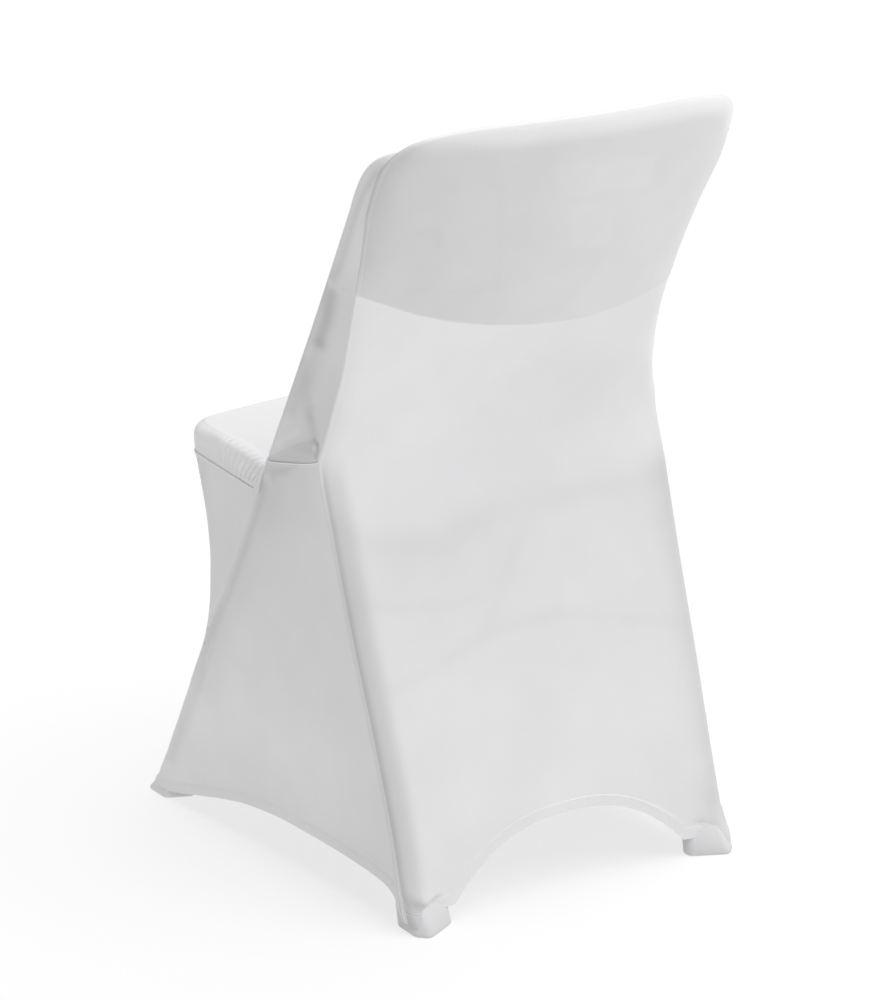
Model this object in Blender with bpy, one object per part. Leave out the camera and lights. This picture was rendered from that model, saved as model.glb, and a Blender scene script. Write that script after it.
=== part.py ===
"""Stretch-fabric cover for a folding chair, hollow, in the shape it takes when pulled over the chair.

The chair would face -Y, so the cover's back looks along +Y, and the floor is z = 0.
Every panel is cut from one common shell, so neighbours meet along the same seams.
"""
import math
from collections import namedtuple

import bmesh
import bpy
from mathutils import Vector

# Cloth
CLOTH = 0.0014
HEM_CLOTH = 0.0022
HEM_WIDTH = 0.012
SEAM_PULL = 0.00022
MITRE_LIMIT = 1.6
WELD = 0.00002
SHARP_ANGLE = 40.0
PANEL_COLOUR = (0.83, 0.83, 0.84)
POCKET_COLOUR = (0.78, 0.78, 0.79)
PANEL_ROUGHNESS = 0.62
PANELS = ("back_panel", "inner_back_panel", "seat_panel", "skirt")

# Upright tube and front leg, one straight line in side view
LEG_SLOPE = 0.525
LEG_REF_HEIGHT = 0.478
LEG_REF_DEPTH = 0.0091
TUBE_X = 0.2073
TUBE_R = 0.013
LEG_KICK = 0.006
LEG_KICK_HEIGHT = 0.060

# Seam at the sides of the back panel, from foot to backrest
SeamRow = namedtuple("SeamRow", "height half_width depth")
SEAM = [
    SeamRow(0.020, 0.2105, 0.2252),
    SeamRow(0.100, 0.2088, 0.2020),
    SeamRow(0.200, 0.2106, 0.1700),
    SeamRow(0.300, 0.2130, 0.1355),
    SeamRow(0.400, 0.2146, 0.1045),
    SeamRow(0.478, 0.2150, 0.0832),
    SeamRow(0.490, 0.2117, 0.0846),
    SeamRow(0.520, 0.2062, 0.0905),
    SeamRow(0.580, 0.2014, 0.1090),
    SeamRow(0.640, 0.2045, 0.1301),
    SeamRow(0.700, 0.2108, 0.1552),
    SeamRow(0.760, 0.2205, 0.1830),
]
FOOT_HEIGHT = SEAM[0].height
PINCH_HEIGHT = 0.478
SHOULDER_HEIGHT = 0.760

# Outline of the backrest above the shoulder, a rounded rectangle with a slight crown
TOP_RISE = 0.0925
TOP_POWER = 4.6
TOP_CROWN = 0.001
TOP_LEAN = 0.44
CORNER = 0.5 ** (1 / TOP_POWER)
GUSSET_DEPTH = 0.0258
GUSSET_DROP = 0.015
GUSSET_FADE = 0.7

# The near end of the backrest's top sits a little higher than the far end
TOP_TILT = 0.021
TILT_FROM = 0.600
TILT_TO = 0.850

# How far the back panel stands out behind the line between its side seams
BulgeRow = namedtuple("BulgeRow", "height bulge power")
BULGE = [
    BulgeRow(0.020, 0.002, 2.0),
    BulgeRow(0.200, 0.003, 2.0),
    BulgeRow(0.300, 0.005, 2.0),
    BulgeRow(0.400, 0.011, 2.0),
    BulgeRow(0.480, 0.020, 2.0),
    BulgeRow(0.550, 0.032, 2.0),
    BulgeRow(0.600, 0.044, 2.0),
    BulgeRow(0.640, 0.052, 2.0),
    BulgeRow(0.700, 0.052, 2.0),
    BulgeRow(0.760, 0.048, 2.0),
    BulgeRow(0.858, 0.043, 2.0),
]
EDGE_WIDTH = 0.020
EDGE_DEPTH = 0.010

# Rounder edge where the back panel wraps the rear legs' tubes
LEG_EDGE_WIDTH = 0.028
LEG_EDGE_DEPTH = 0.018
LEG_EDGE_FOOT = 0.100
LEG_EDGE_TOP = 0.400
LEG_EDGE_END = 0.520

# Seat
SEAT_SEAM = 0.411
SEAT_CROWN = 0.005
SEAT_CORNER_R = 0.032
SEAT_CORNER_X = 0.168
EAR_HEIGHT = 0.455

# Seat's side wall above its lower seam
WallRow = namedtuple("WallRow", "inset height crown")
SEAT_WALL = [
    WallRow(-0.001, 0.430, 0.0),
    WallRow(0.003, 0.4385, 0.5),
    WallRow(0.011, 0.4430, 1.0),
]

# Seat's rear seam between the ear and the flat of the seat
RearRow = namedtuple("RearRow", "half_width forward height")
SEAT_REAR = [
    RearRow(0.206, 0.002, 0.4500),
    RearRow(0.198, 0.003, 0.4465),
    RearRow(0.188, 0.004, 0.4440),
]
SEAT_REAR_COLUMNS = (0.86, 0.68, 0.46, 0.23, 0.0)

# Fold at the skirt's front corner: sideways reach towards the front-left, seen along the fold
ReachRow = namedtuple("ReachRow", "height reach")
FRONT_CORNER = [
    ReachRow(0.200, 0.2608),
    ReachRow(0.231, 0.2555),
    ReachRow(0.264, 0.2521),
    ReachRow(0.300, 0.2518),
    ReachRow(0.340, 0.2552),
    ReachRow(0.380, 0.2623),
    ReachRow(0.411, 0.2685),
]
REACH_DIR = (0.823, -0.568)
FRONT_MERGE = 0.200
FRONT_SPLIT = 0.300
CORNER_CLEARANCE = 0.0015
APRON_SWELL = 0.016
SIDE_DRAW = 0.003
GUSSET_DRAW = 0.0015

# Hem arches: the back and front ones by distance from the middle, the side one by depth
BACK_ARCH_HALF = 0.150
BACK_ARCH_RISE = 0.065
FRONT_FOOT_HEIGHT = 0.010
FRONT_ARCH_HALF = 0.172
FRONT_ARCH_RISE = 0.080
ARCH_POWER = 2.5
HemRow = namedtuple("HemRow", "depth height")
SIDE_HEM = [
    HemRow(-0.215, 0.010),
    HemRow(-0.190, 0.013),
    HemRow(-0.160, 0.022),
    HemRow(-0.110, 0.036),
    HemRow(-0.063, 0.045),
    HemRow(0.010, 0.050),
    HemRow(0.080, 0.050),
    HemRow(0.150, 0.048),
    HemRow(0.195, 0.044),
    HemRow(0.212, 0.038),
    HemRow(0.222, 0.022),
]

# Foot pockets: corners of the plan outline, at the rim and at the sole
PocketCorner = namedtuple("PocketCorner", "rim_x rim_y sole_x sole_y")
REAR_POCKET = [
    PocketCorner(0.1500, 0.2352, 0.1510, 0.2400),
    PocketCorner(0.1880, 0.1980, 0.1850, 0.2040),
    PocketCorner(0.2105, 0.2040, 0.2080, 0.2120),
    PocketCorner(0.2112, 0.2320, 0.2070, 0.2470),
    PocketCorner(0.1950, 0.2375, 0.1900, 0.2560),
]
FRONT_POCKET = [
    PocketCorner(0.1820, -0.2080, 0.1840, -0.2100),
    PocketCorner(0.1820, -0.2560, 0.1860, -0.2590),
    PocketCorner(0.2203, -0.2560, 0.2195, -0.2590),
    PocketCorner(0.2203, -0.2080, 0.2180, -0.2100),
]
POCKET_STEPS = 3
POCKET_CLOTH = 0.0014
POCKET_ROUND = 0.0035
POCKET_GAP = 0.0003
POCKET_R = 0.010

# Sampling: each border's points are shared by the panels on both sides of it
BACK_COLUMNS = (1.0, 0.975, 0.945, 0.905, 0.80, 0.62, 0.42, 0.21, 0.0)
TOP_COLUMNS = (CORNER, 0.83, 0.78, 0.71, 0.60, 0.46, 0.31, 0.155, 0.0)
LOWER_SEAM_HEIGHTS = (0.020, 0.032, 0.070, 0.120, 0.180, 0.240, 0.300, 0.360, 0.420, 0.478)
UPPER_SEAM_HEIGHTS = (0.490, 0.510, 0.540, 0.580, 0.620, 0.650, 0.680, 0.715, 0.760)
SHOULDER_SHARES = (0.35, 0.62, 0.78, CORNER)
SIDE_SHARES = (0.0, 0.03, 0.14, 0.34, 0.56, 0.78, 1.0)
SIDE_COLUMNS = len(SIDE_SHARES) - 1
TUBE_COLUMNS = 3
FOLD_SHARES = (0.0, 0.05, 0.36, 0.68)
FOLD_COLUMNS = len(FOLD_SHARES)
CORNER_COLUMNS = 4
APRON_COLUMNS = (1.0, 0.66, 0.33, 0.0)
EAR = SIDE_COLUMNS + TUBE_COLUMNS
CORNER_START = EAR + FOLD_COLUMNS
CORNER_END = CORNER_START + CORNER_COLUMNS
CORNER_MIDDLE = CORNER_START + CORNER_COLUMNS // 2
LAST_COLUMN = CORNER_END + len(APRON_COLUMNS) - 1


def clamp(value, low=0.0, high=1.0):
    return max(low, min(high, value))


def mix(a, b, share):
    return a + (b - a) * share


def smooth(share):
    share = clamp(share)
    return share * share * (3 - 2 * share)


def read(table, key, value, column):
    """A smooth curve through one column of a table, flat beyond its ends."""
    rows = sorted(table, key=lambda row: getattr(row, key))
    xs = [getattr(row, key) for row in rows]
    ys = [getattr(row, column) for row in rows]
    if value <= xs[0]:
        return ys[0]
    if value >= xs[-1]:
        return ys[-1]
    i = max(k for k in range(len(xs) - 1) if xs[k] <= value)
    slopes = [(ys[k + 1] - ys[k]) / (xs[k + 1] - xs[k]) for k in range(len(xs) - 1)]

    def tangent(k):
        if k == 0 or k == len(slopes):
            return slopes[min(k, len(slopes) - 1)]
        a, b = slopes[k - 1], slopes[k]
        return 0.0 if a * b <= 0 else 2 * a * b / (a + b)

    step = xs[i + 1] - xs[i]
    t = (value - xs[i]) / step
    rise = ys[i] * (2 * t**3 - 3 * t**2 + 1) + ys[i + 1] * (3 * t**2 - 2 * t**3)
    return rise + step * (tangent(i) * (t**3 - 2 * t**2 + t) + tangent(i + 1) * (t**3 - t**2))


def mirrored(points):
    return [Vector((-p.x, p.y, p.z)) for p in points]


def there_and_back(points):
    """A line from the +X side to the middle, carried on to the -X side."""
    return points + mirrored(points[:-1])[::-1]


def tube_depth(z):
    """Depth of the tube's middle; the cloth reaches a little further forward at the foot."""
    kick = LEG_KICK * clamp(1 - z / LEG_KICK_HEIGHT) ** 2
    return LEG_REF_DEPTH + LEG_SLOPE * (z - LEG_REF_HEIGHT) - kick


def seam_point(z):
    return Vector((read(SEAM, "height", z, "half_width"), read(SEAM, "height", z, "depth"), z))


SHOULDER = seam_point(SHOULDER_HEIGHT)


def crest_depth(x, z):
    """Depth of the seam over the top of the backrest."""
    bulge = read(BULGE, "height", z, "bulge")
    power = read(BULGE, "height", z, "power")
    side = SHOULDER.y + TOP_LEAN * (z - SHOULDER_HEIGHT)
    return side + bulge * (1 - clamp(abs(x) / SHOULDER.x) ** power)


def crest_point(x, share):
    """A point of the backrest's outline above the shoulder, share of the rise high."""
    z = SHOULDER_HEIGHT + TOP_RISE * share + TOP_CROWN * (1 - (x / SHOULDER.x) ** 2)
    return Vector((x, crest_depth(x, z), z))


def back_arch():
    """The back panel's seam: up one side to the corner, and from there to the middle."""
    side = [seam_point(z) for z in LOWER_SEAM_HEIGHTS + UPPER_SEAM_HEIGHTS]
    for share in SHOULDER_SHARES:
        x = SHOULDER.x * (1 - share**TOP_POWER) ** (1 / TOP_POWER)
        side.append(crest_point(x, share))
    top = []
    for part in TOP_COLUMNS:
        top.append(crest_point(SHOULDER.x * part, (1 - part**TOP_POWER) ** (1 / TOP_POWER)))
    top[0] = side[-1]
    return side, top


def edge_distance(x, z):
    """Distance in the X-Z plane from a point of the back panel to its side or top seam."""
    if z <= SHOULDER_HEIGHT:
        return read(SEAM, "height", z, "half_width") - abs(x)
    across = (abs(x) / SHOULDER.x) ** TOP_POWER
    rise = TOP_RISE + TOP_CROWN * (1 - (x / SHOULDER.x) ** 2)
    up = ((z - SHOULDER_HEIGHT) / rise) ** TOP_POWER
    reach = (across + up) ** (1 / TOP_POWER)
    return (1 - reach) * mix(SHOULDER.x, rise, up / (across + up))


def back_depth(x, z):
    """Depth of the back panel, which rounds over its edge towards the seam."""
    if z <= SHOULDER_HEIGHT:
        seam = seam_point(z)
        bulge = read(BULGE, "height", z, "bulge")
        power = read(BULGE, "height", z, "power")
        depth = seam.y + bulge * (1 - clamp(abs(x) / seam.x) ** power)
    else:
        depth = crest_depth(x, z)
    leg = smooth(z / LEG_EDGE_FOOT) * smooth((LEG_EDGE_END - z) / (LEG_EDGE_END - LEG_EDGE_TOP))
    inside = clamp(edge_distance(x, z) / mix(EDGE_WIDTH, LEG_EDGE_WIDTH, leg))
    return depth + mix(EDGE_DEPTH, LEG_EDGE_DEPTH, leg) * math.sqrt(1 - (1 - inside) ** 2)


def shares(points, axis):
    """How far along an axis each point of a border lies, from 0 to 1."""
    span = points[-1][axis] - points[0][axis]
    return [(point[axis] - points[0][axis]) / span for point in points]


def patch(left, bottom, top, axis):
    """Rows of points between a border, its mirror image, and a bottom and top line."""
    right = mirrored(left)
    low, high = shares(bottom, 0), shares(top, 0)
    rows = []
    for j, v in enumerate(shares(left, axis)):
        row = []
        for i in range(len(bottom)):
            across = left[j].lerp(right[j], mix(low[i], high[i], v))
            low_sag = bottom[i] - bottom[0].lerp(bottom[-1], low[i])
            high_sag = top[i] - top[0].lerp(top[-1], high[i])
            row.append(across + low_sag * (1 - v) ** 2 + high_sag * v**2)
        rows.append(row)
    rows[0], rows[-1] = bottom, top
    return rows


def back_hem_height(x):
    return FOOT_HEIGHT + BACK_ARCH_RISE * clamp(1 - (abs(x) / BACK_ARCH_HALF) ** ARCH_POWER)


def front_hem_height(x):
    return FRONT_FOOT_HEIGHT + FRONT_ARCH_RISE * clamp(1 - (abs(x) / FRONT_ARCH_HALF) ** ARCH_POWER)


def back_panel_rows():
    """One long panel from the arched hem to the seam over the top."""
    side, top = back_arch()
    hem = []
    for part in BACK_COLUMNS:
        x = side[0].x * part
        z = back_hem_height(x)
        hem.append(Vector((x, back_depth(x, z), z)))
    hem[0] = side[0]
    rows = patch(side, there_and_back(hem), there_and_back(top), 2)
    for row in rows[1:-1]:
        for point in row[1:-1]:
            point.y = back_depth(point.x, point.z)
    return rows


def corner_circle(z):
    """Plan centre and radius of the skirt's front corner, one with the leg near the floor."""
    leg = tube_depth(z) - CORNER_CLEARANCE
    share = smooth((z - FRONT_MERGE) / (SEAT_SEAM - FRONT_MERGE))
    radius = mix(TUBE_R, SEAT_CORNER_R, share)
    x = mix(TUBE_X, SEAT_CORNER_X, share)
    if z <= FRONT_MERGE:
        return x, leg, radius
    reach = read(FRONT_CORNER, "height", z, "reach")
    y = (reach - radius - REACH_DIR[0] * x) / REACH_DIR[1]
    return x, min(y, leg), radius


def on_circle(x, y, radius, degrees, z):
    """A point of a plan circle: 0 degrees faces outwards, 90 faces the front."""
    angle = math.radians(degrees)
    return Vector((x + radius * math.cos(angle), y - radius * math.sin(angle), z))


def fold_angles(z):
    """Where the cloth leaves the front leg's tube, and where it meets the front corner."""
    share = smooth((z - FRONT_MERGE) / (FRONT_SPLIT - FRONT_MERGE))
    return mix(30.0, 62.0, share), mix(30.0, 8.0, share)


def tube_point(degrees, z):
    return on_circle(TUBE_X, tube_depth(z), TUBE_R, degrees, z)


def skirt_point(column, z):
    """A point of the skirt; columns run from the back seam round the leg to the middle."""
    leaves, meets = fold_angles(z)
    x, y, radius = corner_circle(z)
    if column <= SIDE_COLUMNS:
        share = SIDE_SHARES[column]
        point = seam_point(z).lerp(tube_point(0.0, z), share)
        point.x -= SIDE_DRAW * math.sin(math.pi * share)
        return point
    if column <= EAR:
        return tube_point(leaves * (column - SIDE_COLUMNS) / TUBE_COLUMNS, z)
    if column < CORNER_START:
        share = FOLD_SHARES[column - EAR]
        return tube_point(leaves, z).lerp(on_circle(x, y, radius, meets, z), share)
    if column <= CORNER_END:
        share = (column - CORNER_START) / CORNER_COLUMNS
        return on_circle(x, y, radius, mix(meets, 90.0, share), z)
    part = APRON_COLUMNS[column - CORNER_END]
    swell = APRON_SWELL * math.sin(math.pi * clamp(z / SEAT_SEAM)) ** 2
    return Vector((x * part, y - radius - swell * (1 - part**2), z))


def skirt_top(column):
    """Height of the skirt's upper edge: raised seam, ear, then under the seat."""
    if column <= EAR:
        share = SIDE_SHARES[min(column, SIDE_COLUMNS)]
        return mix(PINCH_HEIGHT, EAR_HEIGHT, share**0.8)
    return SEAT_SEAM


def skirt_hem(column):
    near_floor = skirt_point(column, 0.03)
    if column == 0:
        return FOOT_HEIGHT
    if column < EAR:
        return read(SIDE_HEM, "depth", near_floor.y, "height")
    return front_hem_height(near_floor.x)


def skirt_rows():
    """Both sides and the front in one length, from the hem to the seams above."""
    rows = [there_and_back([skirt_point(c, skirt_hem(c)) for c in range(LAST_COLUMN + 1)])]
    for share in shares([seam_point(z) for z in LOWER_SEAM_HEIGHTS[1:]], 2):
        row = []
        for column in range(LAST_COLUMN + 1):
            z = mix(skirt_hem(column) + HEM_WIDTH, skirt_top(column), share)
            row.append(skirt_point(column, z))
        rows.append(there_and_back(row))
    return rows


def wrap_line(seam):
    """Points from the back seam, across the gusset and round to the front face."""
    if seam.z <= SHOULDER_HEIGHT:
        out = Vector((1, 0, 0))
        centre = Vector((TUBE_X, tube_depth(seam.z), seam.z))
    else:
        across = clamp(seam.x / SHOULDER.x) ** (TOP_POWER - 1)
        up = clamp((seam.z - SHOULDER_HEIGHT) / TOP_RISE) ** (TOP_POWER - 1)
        out = Vector((across, 0, up)).normalized()
        depth = GUSSET_DEPTH * (1 - GUSSET_FADE * math.sqrt(out.z))
        centre = seam - out * TUBE_R - Vector((0, depth, GUSSET_DROP * out.z))
    line = []
    for column in range(SIDE_COLUMNS):
        share = column / SIDE_COLUMNS
        point = seam.lerp(centre + out * TUBE_R, share)
        line.append(point - out * GUSSET_DRAW * math.sin(math.pi * share))
    for column in range(TUBE_COLUMNS + 1):
        angle = math.radians(90 * column / TUBE_COLUMNS)
        turn = out * math.cos(angle) - Vector((0, math.sin(angle), 0))
        line.append(centre + turn * TUBE_R)
    return line


def seat_rear_line():
    """Seam between the front face and the seat, from ear to ear."""
    ear = skirt_point(EAR, EAR_HEIGHT)
    half = [ear]
    for row in SEAT_REAR:
        half.append(Vector((row.half_width, ear.y - row.forward, row.height)))
    for part in SEAT_REAR_COLUMNS:
        x = SEAT_REAR[-1].half_width * part
        half.append(Vector((x, half[-1].y, SEAT_REAR[-1].height + seat_crown(x))))
    return there_and_back(half)


def seat_crown(x):
    return SEAT_CROWN * (1 - (x / SEAT_REAR[-1].half_width) ** 2)


def inner_panel_rows():
    """Gussets and wings as rows along the seam, and the front face as a patch."""
    side, top = back_arch()
    start = LOWER_SEAM_HEIGHTS.index(PINCH_HEIGHT)
    ear_line = [skirt_point(column, skirt_top(column)) for column in range(EAR + 1)]
    lines = [ear_line]
    for seam in side[start + 1:] + top[1:]:
        lines.append(wrap_line(seam))
    wrap = lines + [mirrored(line) for line in lines[:-1]][::-1]
    rim = [line[-1] for line in lines]
    corner = len(side) - start
    face = patch(rim[:corner], seat_rear_line(), there_and_back(rim[corner - 1:]), 2)
    return wrap, face


def seat_rows():
    """The seat's gathered sides as rows along its lower seam, and its top as a patch."""
    outline = [skirt_point(column, skirt_top(column)) for column in range(EAR, LAST_COLUMN + 1)]
    rear = seat_rear_line()
    walls = [rear[:len(SEAT_WALL) + 1]]
    for i in range(1, len(outline)):
        ahead = outline[min(i + 1, len(outline) - 1)]
        behind = outline[i - 1] if i > 1 else outline[i]
        along = ahead - behind
        inward = Vector((along.y, -along.x, 0)).normalized()
        wall = [outline[i]]
        for row in SEAT_WALL:
            point = outline[i] + inward * row.inset
            point.z = row.height + (seat_crown(point.x) * row.crown)
            wall.append(point)
        walls.append(wall)
    rim = [wall[-1] for wall in walls]
    corner = CORNER_MIDDLE - EAR + 1
    inner = rear[len(SEAT_WALL):len(rear) - len(SEAT_WALL)]
    top = patch(rim[:corner], inner, there_and_back(rim[corner - 1:]), 1)
    return walls + [mirrored(wall) for wall in walls[:-1]][::-1], top


def halves(a, b, c, d):
    """A quad's two triangles, split along its shorter diagonal, the same way on both sides."""
    if (a.co - c.co).length < (b.co - d.co).length - WELD:
        return (a, b, c), (a, c, d)
    return (a, b, d), (b, c, d)


def add_grid(shell, rows, panel):
    """Triangles between rows of points, marked with the panel that they belong to."""
    grid = [[shell.verts.new(point) for point in row] for row in rows]
    for low, high in zip(grid, grid[1:]):
        for i in range(len(low) - 1):
            for a, b, c in halves(low[i], low[i + 1], high[i + 1], high[i]):
                gaps = (a.co - b.co).length, (b.co - c.co).length, (c.co - a.co).length
                if min(gaps) > WELD:
                    shell.faces.new((a, b, c)).material_index = panel


def cover_shell():
    """The outer surface of the whole cover, with every seam's points shared."""
    shell = bmesh.new()
    add_grid(shell, back_panel_rows(), PANELS.index("back_panel"))
    wrap, face = inner_panel_rows()
    add_grid(shell, wrap, PANELS.index("inner_back_panel"))
    add_grid(shell, face, PANELS.index("inner_back_panel"))
    walls, top = seat_rows()
    add_grid(shell, walls, PANELS.index("seat_panel"))
    add_grid(shell, top, PANELS.index("seat_panel"))
    add_grid(shell, skirt_rows(), PANELS.index("skirt"))
    bmesh.ops.remove_doubles(shell, verts=shell.verts, dist=WELD)
    for vert in shell.verts:
        raised = smooth((vert.co.z - TILT_FROM) / (TILT_TO - TILT_FROM))
        vert.co.z += TOP_TILT * (vert.co.x + SHOULDER.x) * raised
    bmesh.ops.recalc_face_normals(shell, faces=shell.faces)
    rearmost = max(shell.faces, key=lambda face: face.calc_center_median().y)
    if rearmost.normal.y < 0:
        bmesh.ops.reverse_faces(shell, faces=shell.faces)
    shell.normal_update()
    return shell


def pull_from_seam(vert, faces):
    """A small step from a seam into the panel, which leaves the stitched gap."""
    middle = Vector((0, 0, 0))
    for face in faces:
        middle += face.calc_center_median()
    inward = middle / len(faces) - vert.co
    rim = [e for e in vert.link_edges if sum(f in faces for f in e.link_faces) == 1]
    if len(rim) == 2:
        along = rim[0].other_vert(vert).co - rim[1].other_vert(vert).co
        along.normalize()
        inward -= along * inward.dot(along)
    return inward.normalized() * SEAM_PULL


def rim_order(vert):
    """Sorts a seam's points the same way for both panels and on both sides of the cover."""
    return round(vert.co.z - abs(vert.co.x), 5), vert.co.x


def panel_mesh(shell, panel):
    """One panel of the shell as a closed sheet, thicker along its hem."""
    own = [face for face in shell.faces if face.material_index == panel]
    own_set = set(own)
    hem = set()
    for vert in shell.verts:
        if any(len(edge.link_faces) == 1 for edge in vert.link_edges):
            hem.add(vert)
    sheet = bmesh.new()
    outer, inner = {}, {}
    for vert in {v for face in own for v in face.verts}:
        faces = [face for face in vert.link_faces if face in own_set]
        shift = Vector((0, 0, 0))
        if len(faces) < len(vert.link_faces):
            shift = pull_from_seam(vert, faces)
        cloth = HEM_CLOTH if vert in hem else CLOTH
        depth = vert.normal * cloth * min(vert.calc_shell_factor(), MITRE_LIMIT)
        if vert in hem:
            depth.z = 0.0
        outer[vert] = sheet.verts.new(vert.co + shift)
        inner[vert] = sheet.verts.new(vert.co + shift - depth)
    for face in own:
        sheet.faces.new([outer[v] for v in face.verts])
        sheet.faces.new([inner[v] for v in reversed(face.verts)])
        for loop in face.loops:
            if sum(f in own_set for f in loop.edge.link_faces) == 1:
                a, b = loop.vert, loop.link_loop_next.vert
                if rim_order(a) < rim_order(b):
                    sheet.faces.new([outer[b], outer[a], inner[b]])
                    sheet.faces.new([outer[a], inner[a], inner[b]])
                else:
                    sheet.faces.new([outer[b], outer[a], inner[a]])
                    sheet.faces.new([outer[b], inner[a], inner[b]])
    sheet.normal_update()
    return sheet


def pocket_ring(corners, share, inset, z):
    """A ring round a pocket's plan outline, with its corners rounded and drawn in by inset."""
    points = []
    for c in corners:
        points.append(Vector((mix(c.sole_x, c.rim_x, share), mix(c.sole_y, c.rim_y, share), z)))
    radius = POCKET_R - inset
    ring = []
    for before, corner, after in zip(points[-1:] + points[:-1], points, points[1:] + points[:1]):
        a, b = (before - corner).normalized(), (after - corner).normalized()
        half = a.angle(b) / 2
        centre = corner + (a + b).normalized() * (POCKET_R / math.sin(half))
        first = (corner + a * POCKET_R / math.tan(half) - centre).normalized()
        last = (corner + b * POCKET_R / math.tan(half) - centre).normalized()
        for step in range(POCKET_STEPS + 1):
            ring.append(centre + first.slerp(last, step / POCKET_STEPS) * radius)
    return ring


def pocket_mesh(corners, height, side):
    """A cup for one foot: flat sole, rounded lower edge, open at the top."""
    sheet = bmesh.new()
    rings = [
        pocket_ring(corners, 0.0, POCKET_ROUND, 0.0),
        pocket_ring(corners, 0.1, 0.0, POCKET_ROUND),
        pocket_ring(corners, 1.0, 0.0, height),
        pocket_ring(corners, 1.0, POCKET_CLOTH, height),
        pocket_ring(corners, 0.2, POCKET_CLOTH, POCKET_ROUND + POCKET_CLOTH),
        pocket_ring(corners, 0.1, POCKET_ROUND + POCKET_CLOTH, POCKET_CLOTH),
    ]
    grid = []
    for ring in rings:
        grid.append([sheet.verts.new((side * p.x, p.y, p.z)) for p in ring])
    count = len(grid[0])
    for low, high in zip(grid, grid[1:]):
        for i in range(count):
            k = (i + 1) % count
            sheet.faces.new([low[i], low[k], high[k], high[i]])
    sheet.faces.new(grid[0][::-1])
    sheet.faces.new(grid[-1])
    if side < 0:
        bmesh.ops.reverse_faces(sheet, faces=sheet.faces)
    sheet.normal_update()
    return sheet


def cloth_material(name, colour, roughness):
    """A matt knit with no metal in it."""
    material = bpy.data.materials.new(name)
    material.use_nodes = True
    shader = material.node_tree.nodes["Principled BSDF"]
    shader.inputs["Base Color"].default_value = (*colour, 1.0)
    shader.inputs["Roughness"].default_value = roughness
    shader.inputs["Metallic"].default_value = 0.0
    return material


def add_object(name, sheet, colour, roughness):
    mesh = bpy.data.meshes.new(name)
    sheet.to_mesh(mesh)
    sheet.free()
    mesh.materials.append(cloth_material(name, colour, roughness))
    mesh.shade_smooth()
    mesh.set_sharp_from_angle(angle=math.radians(SHARP_ANGLE))
    thing = bpy.data.objects.new(name, mesh)
    bpy.context.scene.collection.objects.link(thing)
    return thing


def centre_over_origin():
    """Moves everything so that the origin lies under the middle of the cover."""
    points = [v.co for thing in bpy.data.objects for v in thing.data.vertices]
    xs, ys = [p.x for p in points], [p.y for p in points]
    middle = Vector(((min(xs) + max(xs)) / 2, (min(ys) + max(ys)) / 2, 0))
    for thing in bpy.data.objects:
        for vert in thing.data.vertices:
            vert.co -= middle


def build():
    for thing in list(bpy.data.objects):
        bpy.data.objects.remove(thing)
    shell = cover_shell()
    for index, name in enumerate(PANELS):
        add_object(name, panel_mesh(shell, index), PANEL_COLOUR, PANEL_ROUGHNESS)
    shell.free()
    for side, hand in ((1, "left"), (-1, "right")):
        rear = pocket_mesh(REAR_POCKET, FOOT_HEIGHT - POCKET_GAP, side)
        add_object("foot_pocket_rear_" + hand, rear, POCKET_COLOUR, PANEL_ROUGHNESS)
        front = pocket_mesh(FRONT_POCKET, FRONT_FOOT_HEIGHT - POCKET_GAP, side)
        add_object("foot_pocket_front_" + hand, front, POCKET_COLOUR, PANEL_ROUGHNESS)
    centre_over_origin()


build()
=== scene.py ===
"""Stretch-fabric cover for a folding chair, dressed with fine sheets, seams, stitches and creases.

The cover's back looks along +Y, the chair would face -Y, and the floor is z = 0.
"""
import math
from collections import namedtuple

import bmesh
import bpy
import numpy as np
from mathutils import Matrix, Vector, noise
from mathutils.kdtree import KDTree


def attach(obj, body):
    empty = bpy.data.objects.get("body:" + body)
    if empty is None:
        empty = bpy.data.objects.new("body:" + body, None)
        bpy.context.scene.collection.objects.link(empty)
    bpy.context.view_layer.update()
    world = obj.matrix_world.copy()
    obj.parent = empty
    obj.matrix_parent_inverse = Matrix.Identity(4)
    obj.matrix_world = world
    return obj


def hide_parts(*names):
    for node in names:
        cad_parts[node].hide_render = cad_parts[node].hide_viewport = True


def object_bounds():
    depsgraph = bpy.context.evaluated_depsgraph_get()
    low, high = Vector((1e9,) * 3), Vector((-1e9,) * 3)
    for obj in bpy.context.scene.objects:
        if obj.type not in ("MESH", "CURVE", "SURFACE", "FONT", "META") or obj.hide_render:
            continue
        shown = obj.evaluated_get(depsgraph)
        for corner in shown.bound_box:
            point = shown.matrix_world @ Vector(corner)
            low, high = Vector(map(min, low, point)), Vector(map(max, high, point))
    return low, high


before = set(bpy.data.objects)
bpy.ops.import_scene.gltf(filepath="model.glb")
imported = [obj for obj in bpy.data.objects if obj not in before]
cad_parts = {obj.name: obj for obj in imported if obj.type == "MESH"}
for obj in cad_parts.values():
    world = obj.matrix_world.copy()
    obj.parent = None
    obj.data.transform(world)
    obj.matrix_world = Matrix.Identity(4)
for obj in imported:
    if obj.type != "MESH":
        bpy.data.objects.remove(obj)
cad_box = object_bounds()
BACKMOST = cad_box[1].y

# Cloth
CLOTH = 0.0014
HEM_CLOTH = 0.0022
HEM_WIDTH = 0.012
SEAM_PULL = 0.00004
MITRE_LIMIT = 1.6
WELD = 0.00002
SHARP_ANGLE = 50.0
PANELS = ("back_panel", "inner_back_panel", "seat_panel", "skirt")
FINER = 8


def named_rows(fields, *rows):
    """A list of rows whose values have names."""
    row_kind = namedtuple("Row", fields)
    return [row_kind(*row) for row in rows]


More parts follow.
